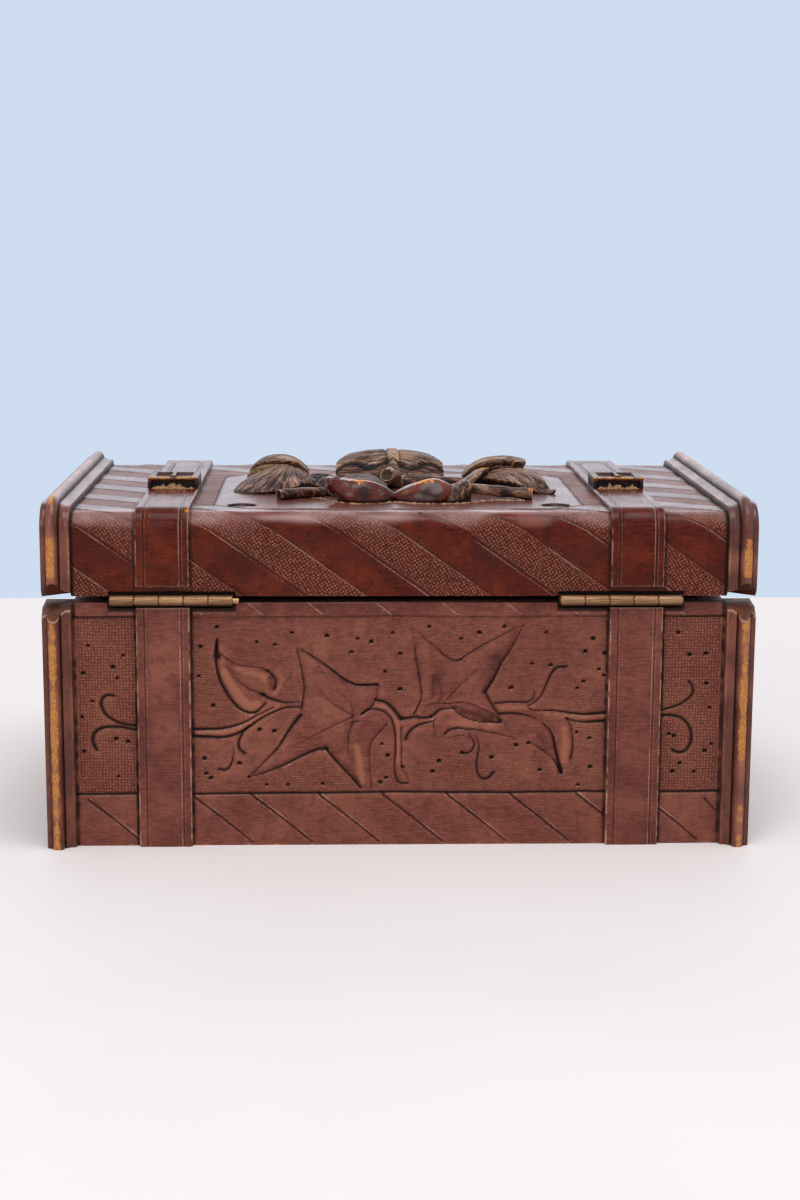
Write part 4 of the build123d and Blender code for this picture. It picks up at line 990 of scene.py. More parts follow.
def buckle(name, x):
    """A loop carved in one piece: a bar at each end, cheeks beside, and a window with a scalloped edge."""
    half, front, back, top = STRAP_WIDTH / 2, BUCKLE_FRONT, BUCKLE_BACK, BUCKLE_TOP
    bar, cheek = 2.3, 1.15
    foot, roof = STRAP_TOP - 0.25, top - 1.15
    boxes = [
        ((-half, front, roof), (half, front + bar, top)), ((-half, back - bar, foot), (half, back, top)),
        ((-half, front, foot), (-half + cheek, back, top)), ((half - cheek, front, foot), (half, back, top)),
        ((-half + 1, front + 2.1, foot), (half - 1, back - 1, top - 1)),
    ]
    for side in (-1, 1):
        boxes.append(((side * 7.2 - 0.9, front + 1, roof), (side * 7.2 + 0.9, back - 1, top - 0.1)))
        # the scallops of the window's front edge
        for a in math.pi * (np.arange(9) + 0.5) / 9:
            u = side * (3.5 + 3.3 * math.cos(a))
            boxes.append(((u - 0.5, front + 1.8, roof), (u + 0.5, front + 4.6 - 2 * math.sin(a), top - 0.15)))
    parts = [plain_box(np.add(low, (x, 0, 0)), np.add(high, (x, 0, 0))) for low, high in boxes]
    obj, points = melted(name, parts, 0.24, 3, 0.07, 1.6)
    u, v, up = np.abs(points[:, 0] - x), points[:, 1], points[:, 2] - STRAP_TOP
    out_edge = np.maximum(bell(u - half, 0.35), bell(v - front, 0.4) + bell(v - back, 0.4))
    in_window = (u < half - 2.1) & (v > front + 2.2) & (v < back - 2.2)
    edge_wear = bell(up - BUCKLE_HEIGHT + 0.1, 0.45) * (bell(v - front - 0.1, 0.5) + 0.7 * bell(v - back, 0.6))
    tones = blank(points)
    # darker low down and inside the window: dirt, and painted shade in the recesses
    tones[:, DIRT_AND_SHADE] = np.clip(0.9 * smooth(3.0, 1.4, up) + 0.45 * in_window * (up < 3.4), 0, 1)
    tones[:, RIM] = 0.5 * bell(up - BUCKLE_HEIGHT, 0.3) * out_edge
    tones[:, WEAR] = np.clip(edge_wear * (0.75 + 0.6 * noise(points[:, 0], v, 1.8, 6)), 0, 1)
    write_tones(obj.data, tones, points)
    return obj


def tube(name, x, y, z, tones, sharp=45.0):
    """A closed solid from places and tones given over a grid of rings."""
    rings = np.stack(np.broadcast_arrays(x, y, z), -1)
    values = blank(rings)
    for channel, value in tones.items():
        values[..., channel] = value
    return ring_loft(name, rings, values, rings, sharp)


def prong(name, x):
    """The tongue pin across the window, with a round knob in front."""
    start, end = BUCKLE_FRONT + 0.9, BUCKLE_BACK - 0.6
    y = np.linspace(start, end, 40)[:, None]
    half = 0.62 + 0.75 * bell(y - start - 1.3, 1.0)
    half[0], half[-1] = 0.25, 0.3
    a = circle(20)
    z = BUCKLE_TOP + 0.1 + 0.62 * np.clip(half, 0, 0.95) * np.sin(a) - 0.25 * bell(y - end, 2.0)
    upper = np.clip(np.sin(a), 0, 1)
    return tube(name, x + half * np.cos(a), y, z, {RIM: 0.8 * bell(y - start - 1.3, 1.1) * upper,
                                                   WEAR: 0.35 * bell(y - start - 1.3, 1.0) * upper})


def crumbs(name, x_range, y_range, z, height, seed):
    """A little ridge of dust and old wax gathered in a corner."""
    (x0, x1), (y0, y1) = x_range, y_range
    columns, rows = max(8, int((x1 - x0) / 0.3)), max(6, int((y1 - y0) / 0.3))
    x, y = np.meshgrid(np.linspace(x0, x1, columns), np.linspace(y0, y1, rows))
    dx = np.minimum(x - x0, x1 - x) / max(0.6, 0.12 * (x1 - x0))
    dy = np.minimum(y - y0, y1 - y) / (0.5 * (y1 - y0))
    lump = np.clip(0.55 + 0.45 * noise(x, y, 1.1, seed) + 0.35 * noise(x, y, 0.5, seed + 2), 0.05, 1.2)
    h = height * np.clip(1.7 * lump - 0.45, 0.04, 1.2) * np.clip(dx, 0, 1) * np.clip(dy, 0, 1) ** 0.6
    surface = np.stack([x, y, z + h], -1)
    return slab(name, surface, z - 0.15)


def slab(name, surface, floor_z):
    """A block without tones below a surface."""
    under = surface[:, [0, -1]].copy()
    under[:, :, 2] = floor_z
    return relief_block(name, surface, under, blank(surface), surface)


def litter(name, path, z, height, seed):
    """A ragged ribbon of dust and wax crumbs lying along a line."""
    line = rounded(path, False, 24)
    step = np.gradient(line, axis=0)
    step /= np.hypot(step[:, 0], step[:, 1])[:, None]
    across = np.linspace(-1, 1, 13)
    run = np.concatenate([[0.0], np.cumsum(np.hypot(*np.diff(line, axis=0).T))])
    lumps = np.clip(0.5 + noise(run, 0 * run, 3.0, seed) + 0.5 * noise(run, 0 * run, 0.9, seed + 1), 0, 1.4)
    reach = (0.3 + 0.6 * lumps)[:, None]
    x = line[:, :1] - step[:, 1:] * reach * across
    y = line[:, 1:] + step[:, :1] * reach * across
    lumps = np.clip(0.55 + noise(x, y, 1.1, seed + 2) + 0.5 * noise(x, y, 0.5, seed + 3), 0, 1.5)
    points = np.stack([x, y, z + height * lumps * (1 - across ** 2) - 0.03], -1)
    return make(name, points.reshape(-1, 3), grid_faces(len(line), len(across)), sharp=60)


# ---------------------------------------------------------------- hinges and plugs
HINGE_Y, HINGE_Z, KNUCKLE_R = -71.0, 83.15, 1.75
KNUCKLE = 8.0
PLATE_FRONT, PLATE_THICKNESS = -62.45, 1.0


def hinge_leaf(name, x, plate_z, first, lean):
    """A plate with every second knuckle: rolled barrels with softened ends and a seam underneath."""
    half = 2.5 * KNUCKLE
    reach = half - 0.05
    gx, gy = np.meshgrid(np.linspace(x - reach, x + reach, 30), np.linspace(-DEPTH_HALF, PLATE_FRONT, 4))
    sag = lean * 0.5 * smooth(-66, -69, gy) * bell(gx - x + 16, 5.0)
    parts = [slab("plate", np.stack([gx, gy, plate_z + PLATE_THICKNESS - 0.02 + sag], -1), plate_z + 0.02)]
    a = circle(28)
    run = np.array([0.07, 0.12, 0.3, 0.6, 2.0, 4.0, 6.0, 7.4, 7.7, 7.88, 7.93])[:, None]
    chamfer = np.array([0.3, 0.14, 0.04, 0.0, 0.0, 0.0, 0.0, 0.0, 0.04, 0.14, 0.3])[:, None]
    # dark in the chamfered seams, and painted shade along the underside of the barrel
    dirt = np.maximum(0.6 * smooth(0.1, 0.3, chamfer), 0.75 * smooth(-0.2, -0.9, np.sin(a)))
    for number in range(first, 5, 2):
        start = x - half + number * KNUCKLE
        size = KNUCKLE_R - chamfer + 0.03 * math.sin(number * 2.1 + x) - 0.12 * bell(a - 1.5 * math.pi, 0.16)
        # a paler band just above the middle of each barrel: painted highlight, partly rubbed brass
        wear = (0.3 + 0.3 * math.sin(number * 1.7 + 0.02 * x)) * bell(np.sin(a) - 0.2, 0.35)
        parts.append(tube("knuckle", start + run, HINGE_Y + size * np.cos(a), HINGE_Z + size * np.sin(a),
                          {DIRT_AND_SHADE: dirt, WEAR: wear}))
        parts.append(plain_box((start + 0.1, HINGE_Y + 0.4, plate_z + 0.04),
                               (start + KNUCKLE - 0.1, 0.1 - DEPTH_HALF, plate_z + PLATE_THICKNESS - 0.04)))
    return face_outward(joined(name, parts))


def plug(name, x, y):
    """A round wooden plug, a little sunk, domed and cracked across the grain."""
    r = np.array([0.02, 0.8, 1.6, 2.4, 3.1, 3.7, 4.1, 4.32, 4.38, 4.38])[:, None]
    heights = np.array([-0.62, -0.6, -0.58, -0.58, -0.6, -0.66, -0.76, -0.95, -1.3, -3.6])[:, None]
    a = circle(48)
    px, py = x + r * np.cos(a), y + r * np.sin(a)
    z = LID_TOP + heights + 0.05 * noise(px, py, 1.4, 8) * (r > 0.1)
    return tube(name, px, py, z, {DIRT_AND_SHADE: 0.5 + 0.5 * smooth(3.6, 4.3, r)})


# ---------------------------------------------------------------- applied carving
CARVING_LIMIT = 10.72  # the carving stays this low above the lid


def straight(x, y):
    """Veins that run along X."""
    return x, y


def dome(centre, radii, height, power=2.0):
    def rise(x, y):
        u, v = (x - centre[0]) / radii[0], (y - centre[1]) / radii[1]
        return height * np.clip(1 - (np.abs(u) ** power + np.abs(v) ** power), 0, None) ** 0.55
    return rise


def polar(centre, radius):
    """Flat coordinates that spread from a point: along each ray, and across the rays at a given radius."""
    def flow(x, y):
        dx, dy = x - centre[0], y - centre[1]
        return np.hypot(dx, dy), radius * np.arctan2(dy, dx)
    return flow


def furrows(across, along, pitch, depth, seed):
    """Gouge marks side by side: heights and the dirt in them."""
    bend = 0.6 * pitch * noise(along, across, 7.0, seed) + 0.3 * pitch * noise(along, across, 2.0, seed + 1)
    wave = np.abs(np.sin(math.pi * (across + bend) / pitch)) ** 0.6
    broad = np.abs(np.sin(math.pi * (across + 2 * bend) / (3.3 * pitch) + seed)) ** 0.6
    strong = np.clip(0.6 + 0.8 * noise(across, 0.35 * along, 2.3 * pitch, seed + 2), 0.1, 1.2)
    heights = depth * (wave - 0.75) * strong + 1.6 * depth * (broad - 0.75)
    grime = np.maximum(smooth(0.66, 0.3, wave) * np.clip(strong, 0, 1), smooth(0.45, 0.15, broad))
    return heights, grime, smooth(0.8, 1.0, wave) * np.clip(0.4 + noise(along, across, 4.0, seed + 3), 0, 1)


def shell_leaf(name, outline, centre, height, flow, rings=46, undercut=0.16, lip=1.5, tone=None, patches=(),
               pitch=1.2, depth=0.3, seed=3):
    """A leaf carved in the round: gouged along its veins, with a thin lip and an undercut edge."""
    edge = rounded(outline, True, max(6, int(22 / DETAIL)))
    centre = np.array(centre, float)
    share = np.concatenate([[0.01], np.linspace(0.05, 1.0, max(14, int(rings / DETAIL))) ** 0.9])
    under = [1.0, 1.0 - 0.25 * undercut, 1.0 - undercut]
    px, py = np.moveaxis(centre + np.concatenate([share, under])[:, None, None] * (edge - centre), -1, 0)
    x, y = px[:len(share)], py[:len(share)]
    along_vein, across_vein = flow(x, y)
    marks, grime, crest = furrows(across_vein, along_vein, pitch, depth, seed)
    z = np.clip(height(x, y) + marks, 0.25, CARVING_LIMIT)
    low = np.maximum(z[-1] - lip, 0.05)
    pz = np.vstack([z, low + 0.55 * (z[-1] - low), low, 0 * low])
    points = np.stack([px, py, LID_TOP + pz], -1)
    tones = blank(points)
    # darker low down near the lid and darkest on the undercut below the lip: dirt and painted shade
    tones[..., DIRT_AND_SHADE] = 0.8 * smooth(1.8, 0.1, pz)
    tones[-2:, :, DIRT_AND_SHADE] = 1.0
    top = tones[:len(share)]
    top[..., DIRT_AND_SHADE] = np.maximum(top[..., DIRT_AND_SHADE], 0.85 * grime)
    # the crests between the gouges paler and lighter: partly rubbed, partly painted highlight
    top[..., RIM] += 0.6 * crest * np.clip(noise(x, y, 3.0, seed + 4) + 0.45, 0, 1)
    top[..., GLAZE_AND_SHADING] += 0.5 * crest + 0.5 * noise(x, y, 6.0, seed + 5)
    top[-1, :, RIM] = 0.6
    if tone is not None:
        top += tone(x, y)
    # patches of tone: some the wood's own stains and wear, some painted highlights and painted shade
    for (patch_x, patch_y), (reach_x, reach_y), channel, amount in patches:
        top[..., channel] += amount * bell(np.hypot((x - patch_x) / reach_x, (y - patch_y) / reach_y), 1.0)
    return ring_loft(name, points, tones, np.stack([*flow(px, py), points[..., 2]], -1), sharp=60)


def stick(name, path, radii, bark=0.12, flat=True, end_wear=0.5, depth=0.0):
    """A carved twig through a path of points above the lid, with ring marks near its cut end."""
    p = np.array(path, float)
    stops = np.linspace(0, 1, len(p))
    heights, size = (rounded(np.column_stack([stops, values]), False, 10)[:, 1] for values in (p[:, 2], radii))
    line = np.column_stack([rounded(p[:, :2], False, 10), heights])
    direction = np.gradient(line, axis=0)
    direction /= np.linalg.norm(direction, axis=1)[:, None]
    side = np.cross(direction, (0, 0, 1.0))
    side /= np.linalg.norm(side, axis=1)[:, None]
    up = np.cross(side, direction)
    a = circle(26)
    travel = np.cumsum(np.r_[0, np.linalg.norm(np.diff(line, axis=0), axis=1)])
    run, turn = np.broadcast_arrays(travel[:, None], a)
    lumps = noise(run, 3 * np.cos(turn), 2.2, 9) + 0.5 * noise(0.3 * run, 5 * np.sin(turn), 0.9, 4)
    r = (size[:, None] * (1 + bark * lumps))[..., None]
    turn = turn[..., None]
    rings = line[:, None] + side[:, None] * r * np.cos(turn) + up[:, None] * r * np.sin(turn)
    # a smaller ring before the first one rounds the cut end
    cap = line[0] + (rings[0] - line[0]) * 0.72 + direction[0] * 0.35
    rings = np.concatenate([cap[None], rings])
    if flat:
        rings[..., 2] = np.maximum(rings[..., 2], -0.1)
    above = rings[..., 2].copy()
    rings[..., 2] += LID_TOP
    gone, turn = np.broadcast_arrays(np.append(-0.3, travel)[:, None], 4 * a)
    tones = blank(rings)
    stains = 0.6 * smooth(0.3, 0.7, noise(gone, turn, 2.4, 3))
    # darker low down where it meets the lid, and in patchy stains
    tones[..., DIRT_AND_SHADE] = np.maximum(0.85 * smooth(1.4, 0.1, above), stains)
    # the upper side painted paler: painted highlight from light above
    tones[..., RIM] = 0.6 * np.clip(np.sin(a), 0, 1) ** 4 * smooth(0.0, 0.3, noise(gone, turn, 3.0, 6))
    tones[1, :, RIM] = 0.8
    tones[0, :, DIRT_AND_SHADE] = 0.75
    tones[1:4, :, WEAR] = end_wear * np.clip(0.3 + np.sin(a), 0, 1)
    tones[..., GLAZE_AND_SHADING] = depth + 0.5 * noise(gone, turn, 5.0, 2)
    return ring_loft(name, rings, tones, rings, sharp=50)


def kernel(name, x_range, y, sizes, lifts, highlight, lit_and_shaded_planes, seed):
    """A nut lying along X: broad smooth planes with soft ridges between them, some planes painted lighter with a pale
    core as painted highlights, some painted darker as painted shade.
    """
    t = np.linspace(0, 1, 56)[:, None]
    stops = np.linspace(0, 1, len(sizes))
    size = np.interp(t, *rounded(np.column_stack([stops, sizes]), False, 12).T)
    lift = np.interp(t, stops, lifts)
    a = circle(72)
    run, turn = np.broadcast_arrays(t, a)
    planes = 1 - 0.07 * np.abs(np.sin(2.5 * (turn + 0.3 + 0.4 * run))) - 0.03 * np.sin(3 * turn + 9 * run)
    dents = 1 + 0.02 * noise(8 * turn, 30 * run, 4.0, seed)
    rings = np.zeros(run.shape + (3,))
    x = x_range[0] + (x_range[1] - x_range[0]) * t + 0.25 * np.cos(3 * a) * np.sin(math.pi * t)
    above = np.maximum(lift + 0.95 * size * planes * dents * np.sin(a), -0.05)
    rings[..., 0] = x
    rings[..., 1] = y + size * planes * dents * np.cos(a)
    rings[..., 2] = above + LID_TOP
    tones = blank(rings)
    # darker low down where it meets the lid
    tones[..., DIRT_AND_SHADE] = 0.9 * smooth(1.6, 0.1, above)
    spot = bell(x - highlight, 4.2) * bell(a - 0.56 * math.pi, 0.5)
    tones[..., WEAR] = np.clip(0.95 * spot * (1 + 0.3 * noise(x, rings[..., 1], 1.5, seed)), 0, 1)
    tones[..., GLAZE_AND_SHADING] = 0.35 * noise(x, 6 * turn, 4.0, seed) - 0.25
    # painted highlights and painted shade on chosen planes: lighter glaze with a pale core where the amount is large,
    # darker where it is negative
    for place_x, place_a, width, amount in lit_and_shaded_planes:
        soft = bell(x - place_x, width) * bell(a - place_a * math.pi, 0.45)
        tones[..., GLAZE_AND_SHADING] += min(amount, 0.6) * soft
        tones[..., RIM] += max(amount - 0.5, 0) * (0.35 + noise(x, 9 * turn, 1.1, seed + 6)) * soft ** 8
    return ring_loft(name, rings, tones, rings, sharp=70)


def mound(centre, radii, height, reach, power, bend=1.0):
    """A cushion that falls away from its middle."""
    def rise(x, y):
        away = np.hypot((x - centre[0]) / radii[0], (y - centre[1]) / radii[1])
        return height * np.clip(reach - away ** bend, 0, 1) ** power
    return rise


def lobes_rise(x, y):
    fold = 1.9 * bell(0.8 * (x - 47) + 0.6 * (y + 12), 1.6) * smooth(46, 51, x)
    return mound((41.5, -6), (15.5, 18), 6.9, 1.05, 0.7, 1.7)(x, y) + fold


def cup_rise(x, y):
    return (3.2 + 3.5 * smooth(16, 23, x)) * mound((20.6, -37.5), (5.8, 8.2), 1, 1.1, 0.6, 3)(x, y)


def bud_rise(x, y):
    from_rib = np.abs(y - 0.75 * x + 31.5) / 6
    return (2.6 + 4.6 * smooth(19, 31, x)) * np.clip(1.15 - from_rib ** 2, 0.1, 1) ** 0.5


def hood(middle, half, crest, front, back):
    """An arch over X that stands full height between two places along Y and falls away behind."""
    def rise(x, y):
        span = np.clip(1 - np.abs((x - middle) / half) ** 2.2, 0, None) ** 0.55
        opened = 0.45 + 0.55 * smooth(front - 6, front + 1, y)
        return crest * span * opened * (1 - 0.8 * smooth(back - 12, back + 4, y))
    return rise


MIDRIB_X = -0.4


def past_ledge(x, y):
    """How far a place lies behind the wavy ledge across the middle leaf."""
    return y - 5.6 - 1.1 * np.cos(0.42 * (x + 1.6)) - 0.03 * np.abs(x + 1.6)


def centre_rise(x, y):
    rise = hood(-1.6, 25.5, 10.1, 8.0, 38.0)(x, y)
    ledge = past_ledge(x, y)
    midrib = 0.5 * bell(x - MIDRIB_X, 1.9) - 0.5 * bell(np.abs(x - MIDRIB_X) - 2.4, 0.45)
    return rise + midrib * smooth(3, 6, y) - 0.8 * bell(ledge, 0.6) - 0.5 * smooth(0.3, -0.3, ledge)


def centre_tone(x, y):
    t = np.zeros(x.shape + (5,))
    ledge, from_rib = past_ledge(x, y), x - MIDRIB_X
    dirt = 0.8 * bell(np.abs(from_rib) - 2.4, 0.4) * smooth(4, 6, y) + 0.9 * bell(ledge - 0.1, 0.5)
    t[..., DIRT_AND_SHADE] = dirt * (1 - 0.7 * bell(from_rib, 1.6))
    t[..., RIM] = 0.5 * bell(ledge - 1.2, 0.4)
    t[..., GLAZE_AND_SHADING] = (0.9 * bell(from_rib, 1.7) + 0.15) * smooth(4, 7, y) - 0.5 * smooth(0.3, -0.3, ledge)
    return t


def left_leaf(keep):
    """An arched part behind, open at the front, and a fan of veins before it."""
    keep(shell_leaf("leaf_left_arch", [(-51.8, 1.5), (-50.4, -1.6), (-46.8, -3), (-42, -3.4), (-37, -2.8),
        (-33, -1.4), (-30.8, 1.5), (-31, 8), (-34, 14), (-38.5, 18), (-43.5, 19), (-48, 16), (-51, 10)],
        (-42.5, 4), hood(-41.3, 12, 10.5, -3, 18), lambda x, y: (0.9 * x, 1.3 * y), lip=2.3, undercut=0.35,
        depth=0.45, patches=[((-38, -2.4), (5, 1.2), RIM, 0.6), ((-38, 3), (4, 4), GLAZE_AND_SHADING, 0.5)]), "leaf_left")
    keep(shell_leaf("leaf_left_fan", [(-56.6, -15), (-55.8, -19), (-52, -21.6), (-47, -23.2), (-40.5, -22.6),
        (-34, -20.5), (-30.5, -14), (-31.5, -7.5), (-35.5, -4.6), (-41, -4.4), (-47.5, -5.8), (-54, -10)],
        (-42, -11.5), mound((-39.5, -7), (18.5, 17.5), 8.3, 1.06, 0.8), polar((-36, -3.5), 11), lip=1.2,
        undercut=0.1, pitch=1.35, depth=0.4, seed=5,
        patches=[((-47, -20.5), (8, 3), GLAZE_AND_SHADING, -0.7), ((-41, -9), (6, 4), GLAZE_AND_SHADING, 0.6)]), "leaf_left")
    keep(shell_leaf("dust_leaf_left", [(-52, -2.8), (-47, -3.8), (-40, -4), (-34, -3.2), (-32, 3), (-40, 6),
        (-48, 6), (-52, 2)], (-43, 0), hood(-42.4, 11.6, 8.3, -6, 8), straight, rings=20, pitch=1.4, depth=0.5,
        seed=9), "leaf_left")


def middle_leaf(keep):
    """It closes down to the lid in front, below a wavy ledge."""
    keep(shell_leaf("leaf_centre", [(-20.9, 9), (-20.6, 4.6), (-15.5, 3.4), (-9, 3), (-1.6, 2.8), (6, 3),
        (12, 3.4), (17.2, 4.6), (17.6, 9), (17.3, 16), (15, 24), (11, 30), (5.5, 34), (-1.6, 38), (-8.5, 34),
        (-14, 30), (-18, 24), (-20.5, 16)], (-1.6, 14), centre_rise,
        lambda x, y: (0.9 * x, 1.5 * y + 0.5 * np.abs(x + 0.4) - 0.022 * (x + 0.4) ** 2), rings=54, lip=9,
        undercut=0.04, pitch=1.3, depth=0.42, tone=centre_tone, seed=2), "leaf_centre")


def right_leaf(keep):
    """Its arch, the curl at the arch's end, what fills the arch, and the lobes that run down to the right."""
    keep(shell_leaf("leaf_right_arch", [(24, 2.5), (26, -1.8), (31, -3.4), (36.5, -3.9), (41, -4.2), (45, -3.8),
        (46.6, -1), (46.4, 6), (43.5, 13), (38.5, 16.5), (32, 15), (26.8, 10)], (37, 4),
        hood(38.6, 15.6, 10.4, -4, 16), lambda x, y: (x + 0.4 * y, 1.2 * y - 0.03 * (x - 37) ** 2), lip=2.2,
        undercut=0.3, pitch=1.5, depth=0.34, seed=6,
        patches=[((35, 0), (10, 7), GLAZE_AND_SHADING, 0.9), ((40.5, -1), (1.2, 3.5), DIRT_AND_SHADE, 0.8)]), "leaf_right")
    keep(stick("leaf_right_curl", [(43.4, -5, 7.4), (43, -2, 7.6), (42.4, 4, 7.2)], (2.2, 2.5, 2.4), bark=0.15,
        flat=False, end_wear=0, depth=-0.4), "leaf_right")
    keep(shell_leaf("leaf_right_fill", [(26, -2.6), (32, -4), (38, -4.4), (43.5, -3.6), (45.5, 1), (41, 5),
        (33, 5), (28, 1)], (37, 0), hood(37.4, 12.4, 7.6, -7, 8), lambda x, y: (y, x), rings=20, seed=8),
        "leaf_right")
    keep(shell_leaf("leaf_right_lobes", [(29, -7), (32.5, -12.5), (37, -17), (42.5, -20.5), (48, -21.8),
        (53.6, -23.8), (55.2, -21.4), (52.6, -14), (52, -8), (50.5, -3.5), (46, -1), (39, -2.5), (33, -3.8)],
        (43, -10.5), lobes_rise, polar((30, -1), 17), lip=1.1, undercut=0.1, pitch=1.5, depth=0.45, seed=7,
        patches=[((44, -9), (12, 9), GLAZE_AND_SHADING, 0.8)]), "leaf_right")


def nuts(keep):
    """The pair in front, and the tip of the left one."""
    keep(kernel("nut_left", (-22.9, -0.9), -38, (1.6, 4.6, 6.4, 7, 6.6, 5.6, 4.2, 1.6),
        (5.6, 3.4, 1.7, 0.9, 0.8, 0.8, 0.7, 0.8), -13.5, ((-6.3, 0.8, 2.2, 1.5), (-11.6, 0.82, 1.6, -1.6),
        (-16.5, 0.74, 2.6, 0.7), (-3, 0.95, 2, -0.8)), 3), "nut_left")
    keep(kernel("nut_right", (-1.4, 17.6), -37.6, (1.6, 3.8, 5.6, 6.6, 6.9, 6.3, 4.4),
        (1, 0.9, 0.8, 0.9, 1, 1.2, 1.6), 9, ((5.6, 0.66, 1.8, 1.5), (11.6, 0.8, 2, -1.8), (2, 0.8, 2.6, 0.6),
        (14.8, 0.62, 1.2, 1), (8.6, 0.93, 3, -0.6)), 4), "nut_right")
    keep(stick("nut_tip", [(-24.2, -38.6, 6.1), (-23.2, -38.4, 6), (-20.5, -38, 5)], (1.7, 2.3, 2.6), bark=0.25,
        flat=False, end_wear=0, depth=-0.2), "nut_left")


def husks(keep):
    """The cup round the right nut, the husk on the left, and the nut behind it."""
    keep(shell_leaf("husk_cup", [(15.8, -42), (18, -44.8), (21.5, -44.4), (24, -41.6), (25, -37), (24.2, -32.6),
        (21, -30.6), (17, -31.4), (15.4, -37)], (20.2, -38), cup_rise, lambda x, y: (x + y, 0.8 * x - 0.6 * y),
        rings=34, undercut=0.03, lip=3, pitch=1.7, depth=0.5, seed=4,
        patches=[((21, -40.5), (3.5, 3.5), GLAZE_AND_SHADING, -0.8), ((24.4, -40), (0.7, 3), WEAR, 0.75),
        ((22.5, -37), (1.5, 3), RIM, 0.5)]), "husk_right")
    keep(shell_leaf("husk_left", [(-33.5, -19), (-28, -25.5), (-20.5, -29), (-18.5, -23), (-19.5, -14),
        (-22.5, -7), (-29.5, -6.5), (-33.5, -11)], (-26, -17), dome((-26, -17), (9.5, 12.5), 6.2),
        polar((-35, -9), 12), pitch=2.4, depth=0.8, seed=11,
        patches=[((-25, -19), (9, 9), DIRT_AND_SHADE, 0.5), ((-31.5, -9.5), (2.4, 2), WEAR, 0.95),
        ((-25, -19), (9, 9), GLAZE_AND_SHADING, -1)]), "husk_left")
    keep(shell_leaf("nut_behind", [(-21.5, -28), (-12, -31.5), (-4.5, -27.5), (-3.5, -18), (-7, -9), (-14, -7),
        (-20, -11), (-22.5, -19)], (-12.5, -19), dome((-12.5, -19), (10.5, 13), 6.2, 2.3), straight, pitch=3.2,
        depth=0.25, seed=12, patches=[((-16, -20), (3, 2), WEAR, 0.5), ((-12, -19), (12, 12), GLAZE_AND_SHADING, -1.7),
        ((-12, -19), (12, 12), DIRT_AND_SHADE, 0.4)]), "husk_left")


def twigs(keep):
    """The twigs, and the bud's leaf beside them."""
    keep(stick("twig_left", [(-40.4, -37.6, 1.7), (-36, -35, 1.8), (-31, -32, 1.8), (-25, -29.5, 1.7)],
        (1.85, 1.9, 1.8, 1.6), end_wear=0.2, depth=-0.6), "twig_left")
    keep(stick("twig_right", [(45.8, -36, 1.85), (39, -35.4, 2.3), (32.5, -35, 2.9), (23.8, -34.8, 3.7)],
        (1.95, 1.9, 1.95, 1.75), end_wear=0.5, depth=0.1), "twig_right")
    keep(stick("twig_stub", [(-3.2, -13.4, 5.6), (-2.4, -9.5, 4.8), (-0.8, -4.5, 3)], (2.3, 2.9, 3.6), bark=0.2,
        flat=False, end_wear=0.1, depth=0.5), "twig_stub")
    keep(stick("twig_low", [(2.2, -6.5, 2.2), (9, -6.4, 2.3), (17, -5.6, 2.1), (24, -5, 1.9)],
        (2.4, 2.3, 2.1, 1.8), end_wear=0, depth=-0.7), "twig_low")
    keep(shell_leaf("leaf_bud", [(18.5, -17.5), (22, -19.5), (26.5, -17), (31, -11), (33, -6.5), (29, -6.2),
        (24, -7.5), (19.5, -12)], (25, -13), bud_rise, lambda x, y: ((x + y) * 0.7, (y - x) * 0.7), pitch=2.2,
        depth=0.25, seed=13, patches=[((27, -12), (5, 4), GLAZE_AND_SHADING, 0.7), ((31, -8.5), (2.2, 2.2), WEAR, 0.8)]),
        "bud_leaf")


def carving():
    """The nuts, leaves and twigs applied to the middle of the lid, each with the solid it stands for."""
    made = []
    for group in (left_leaf, middle_leaf, right_leaf, nuts, husks, twigs):
        group(lambda piece, solid: made.append((piece, "carving_" + solid)))
    return made


# ---------------------------------------------------------------- materials
def rgb(red, green, blue):
    """A colour given as it is seen on screen, from 0 to 255."""
    seen = (red / 255, green / 255, blue / 255)
    return tuple(c / 12.92 if c <= 0.04 else ((c + 0.055) / 1.055) ** 2.4 for c in seen) + (1.0,)


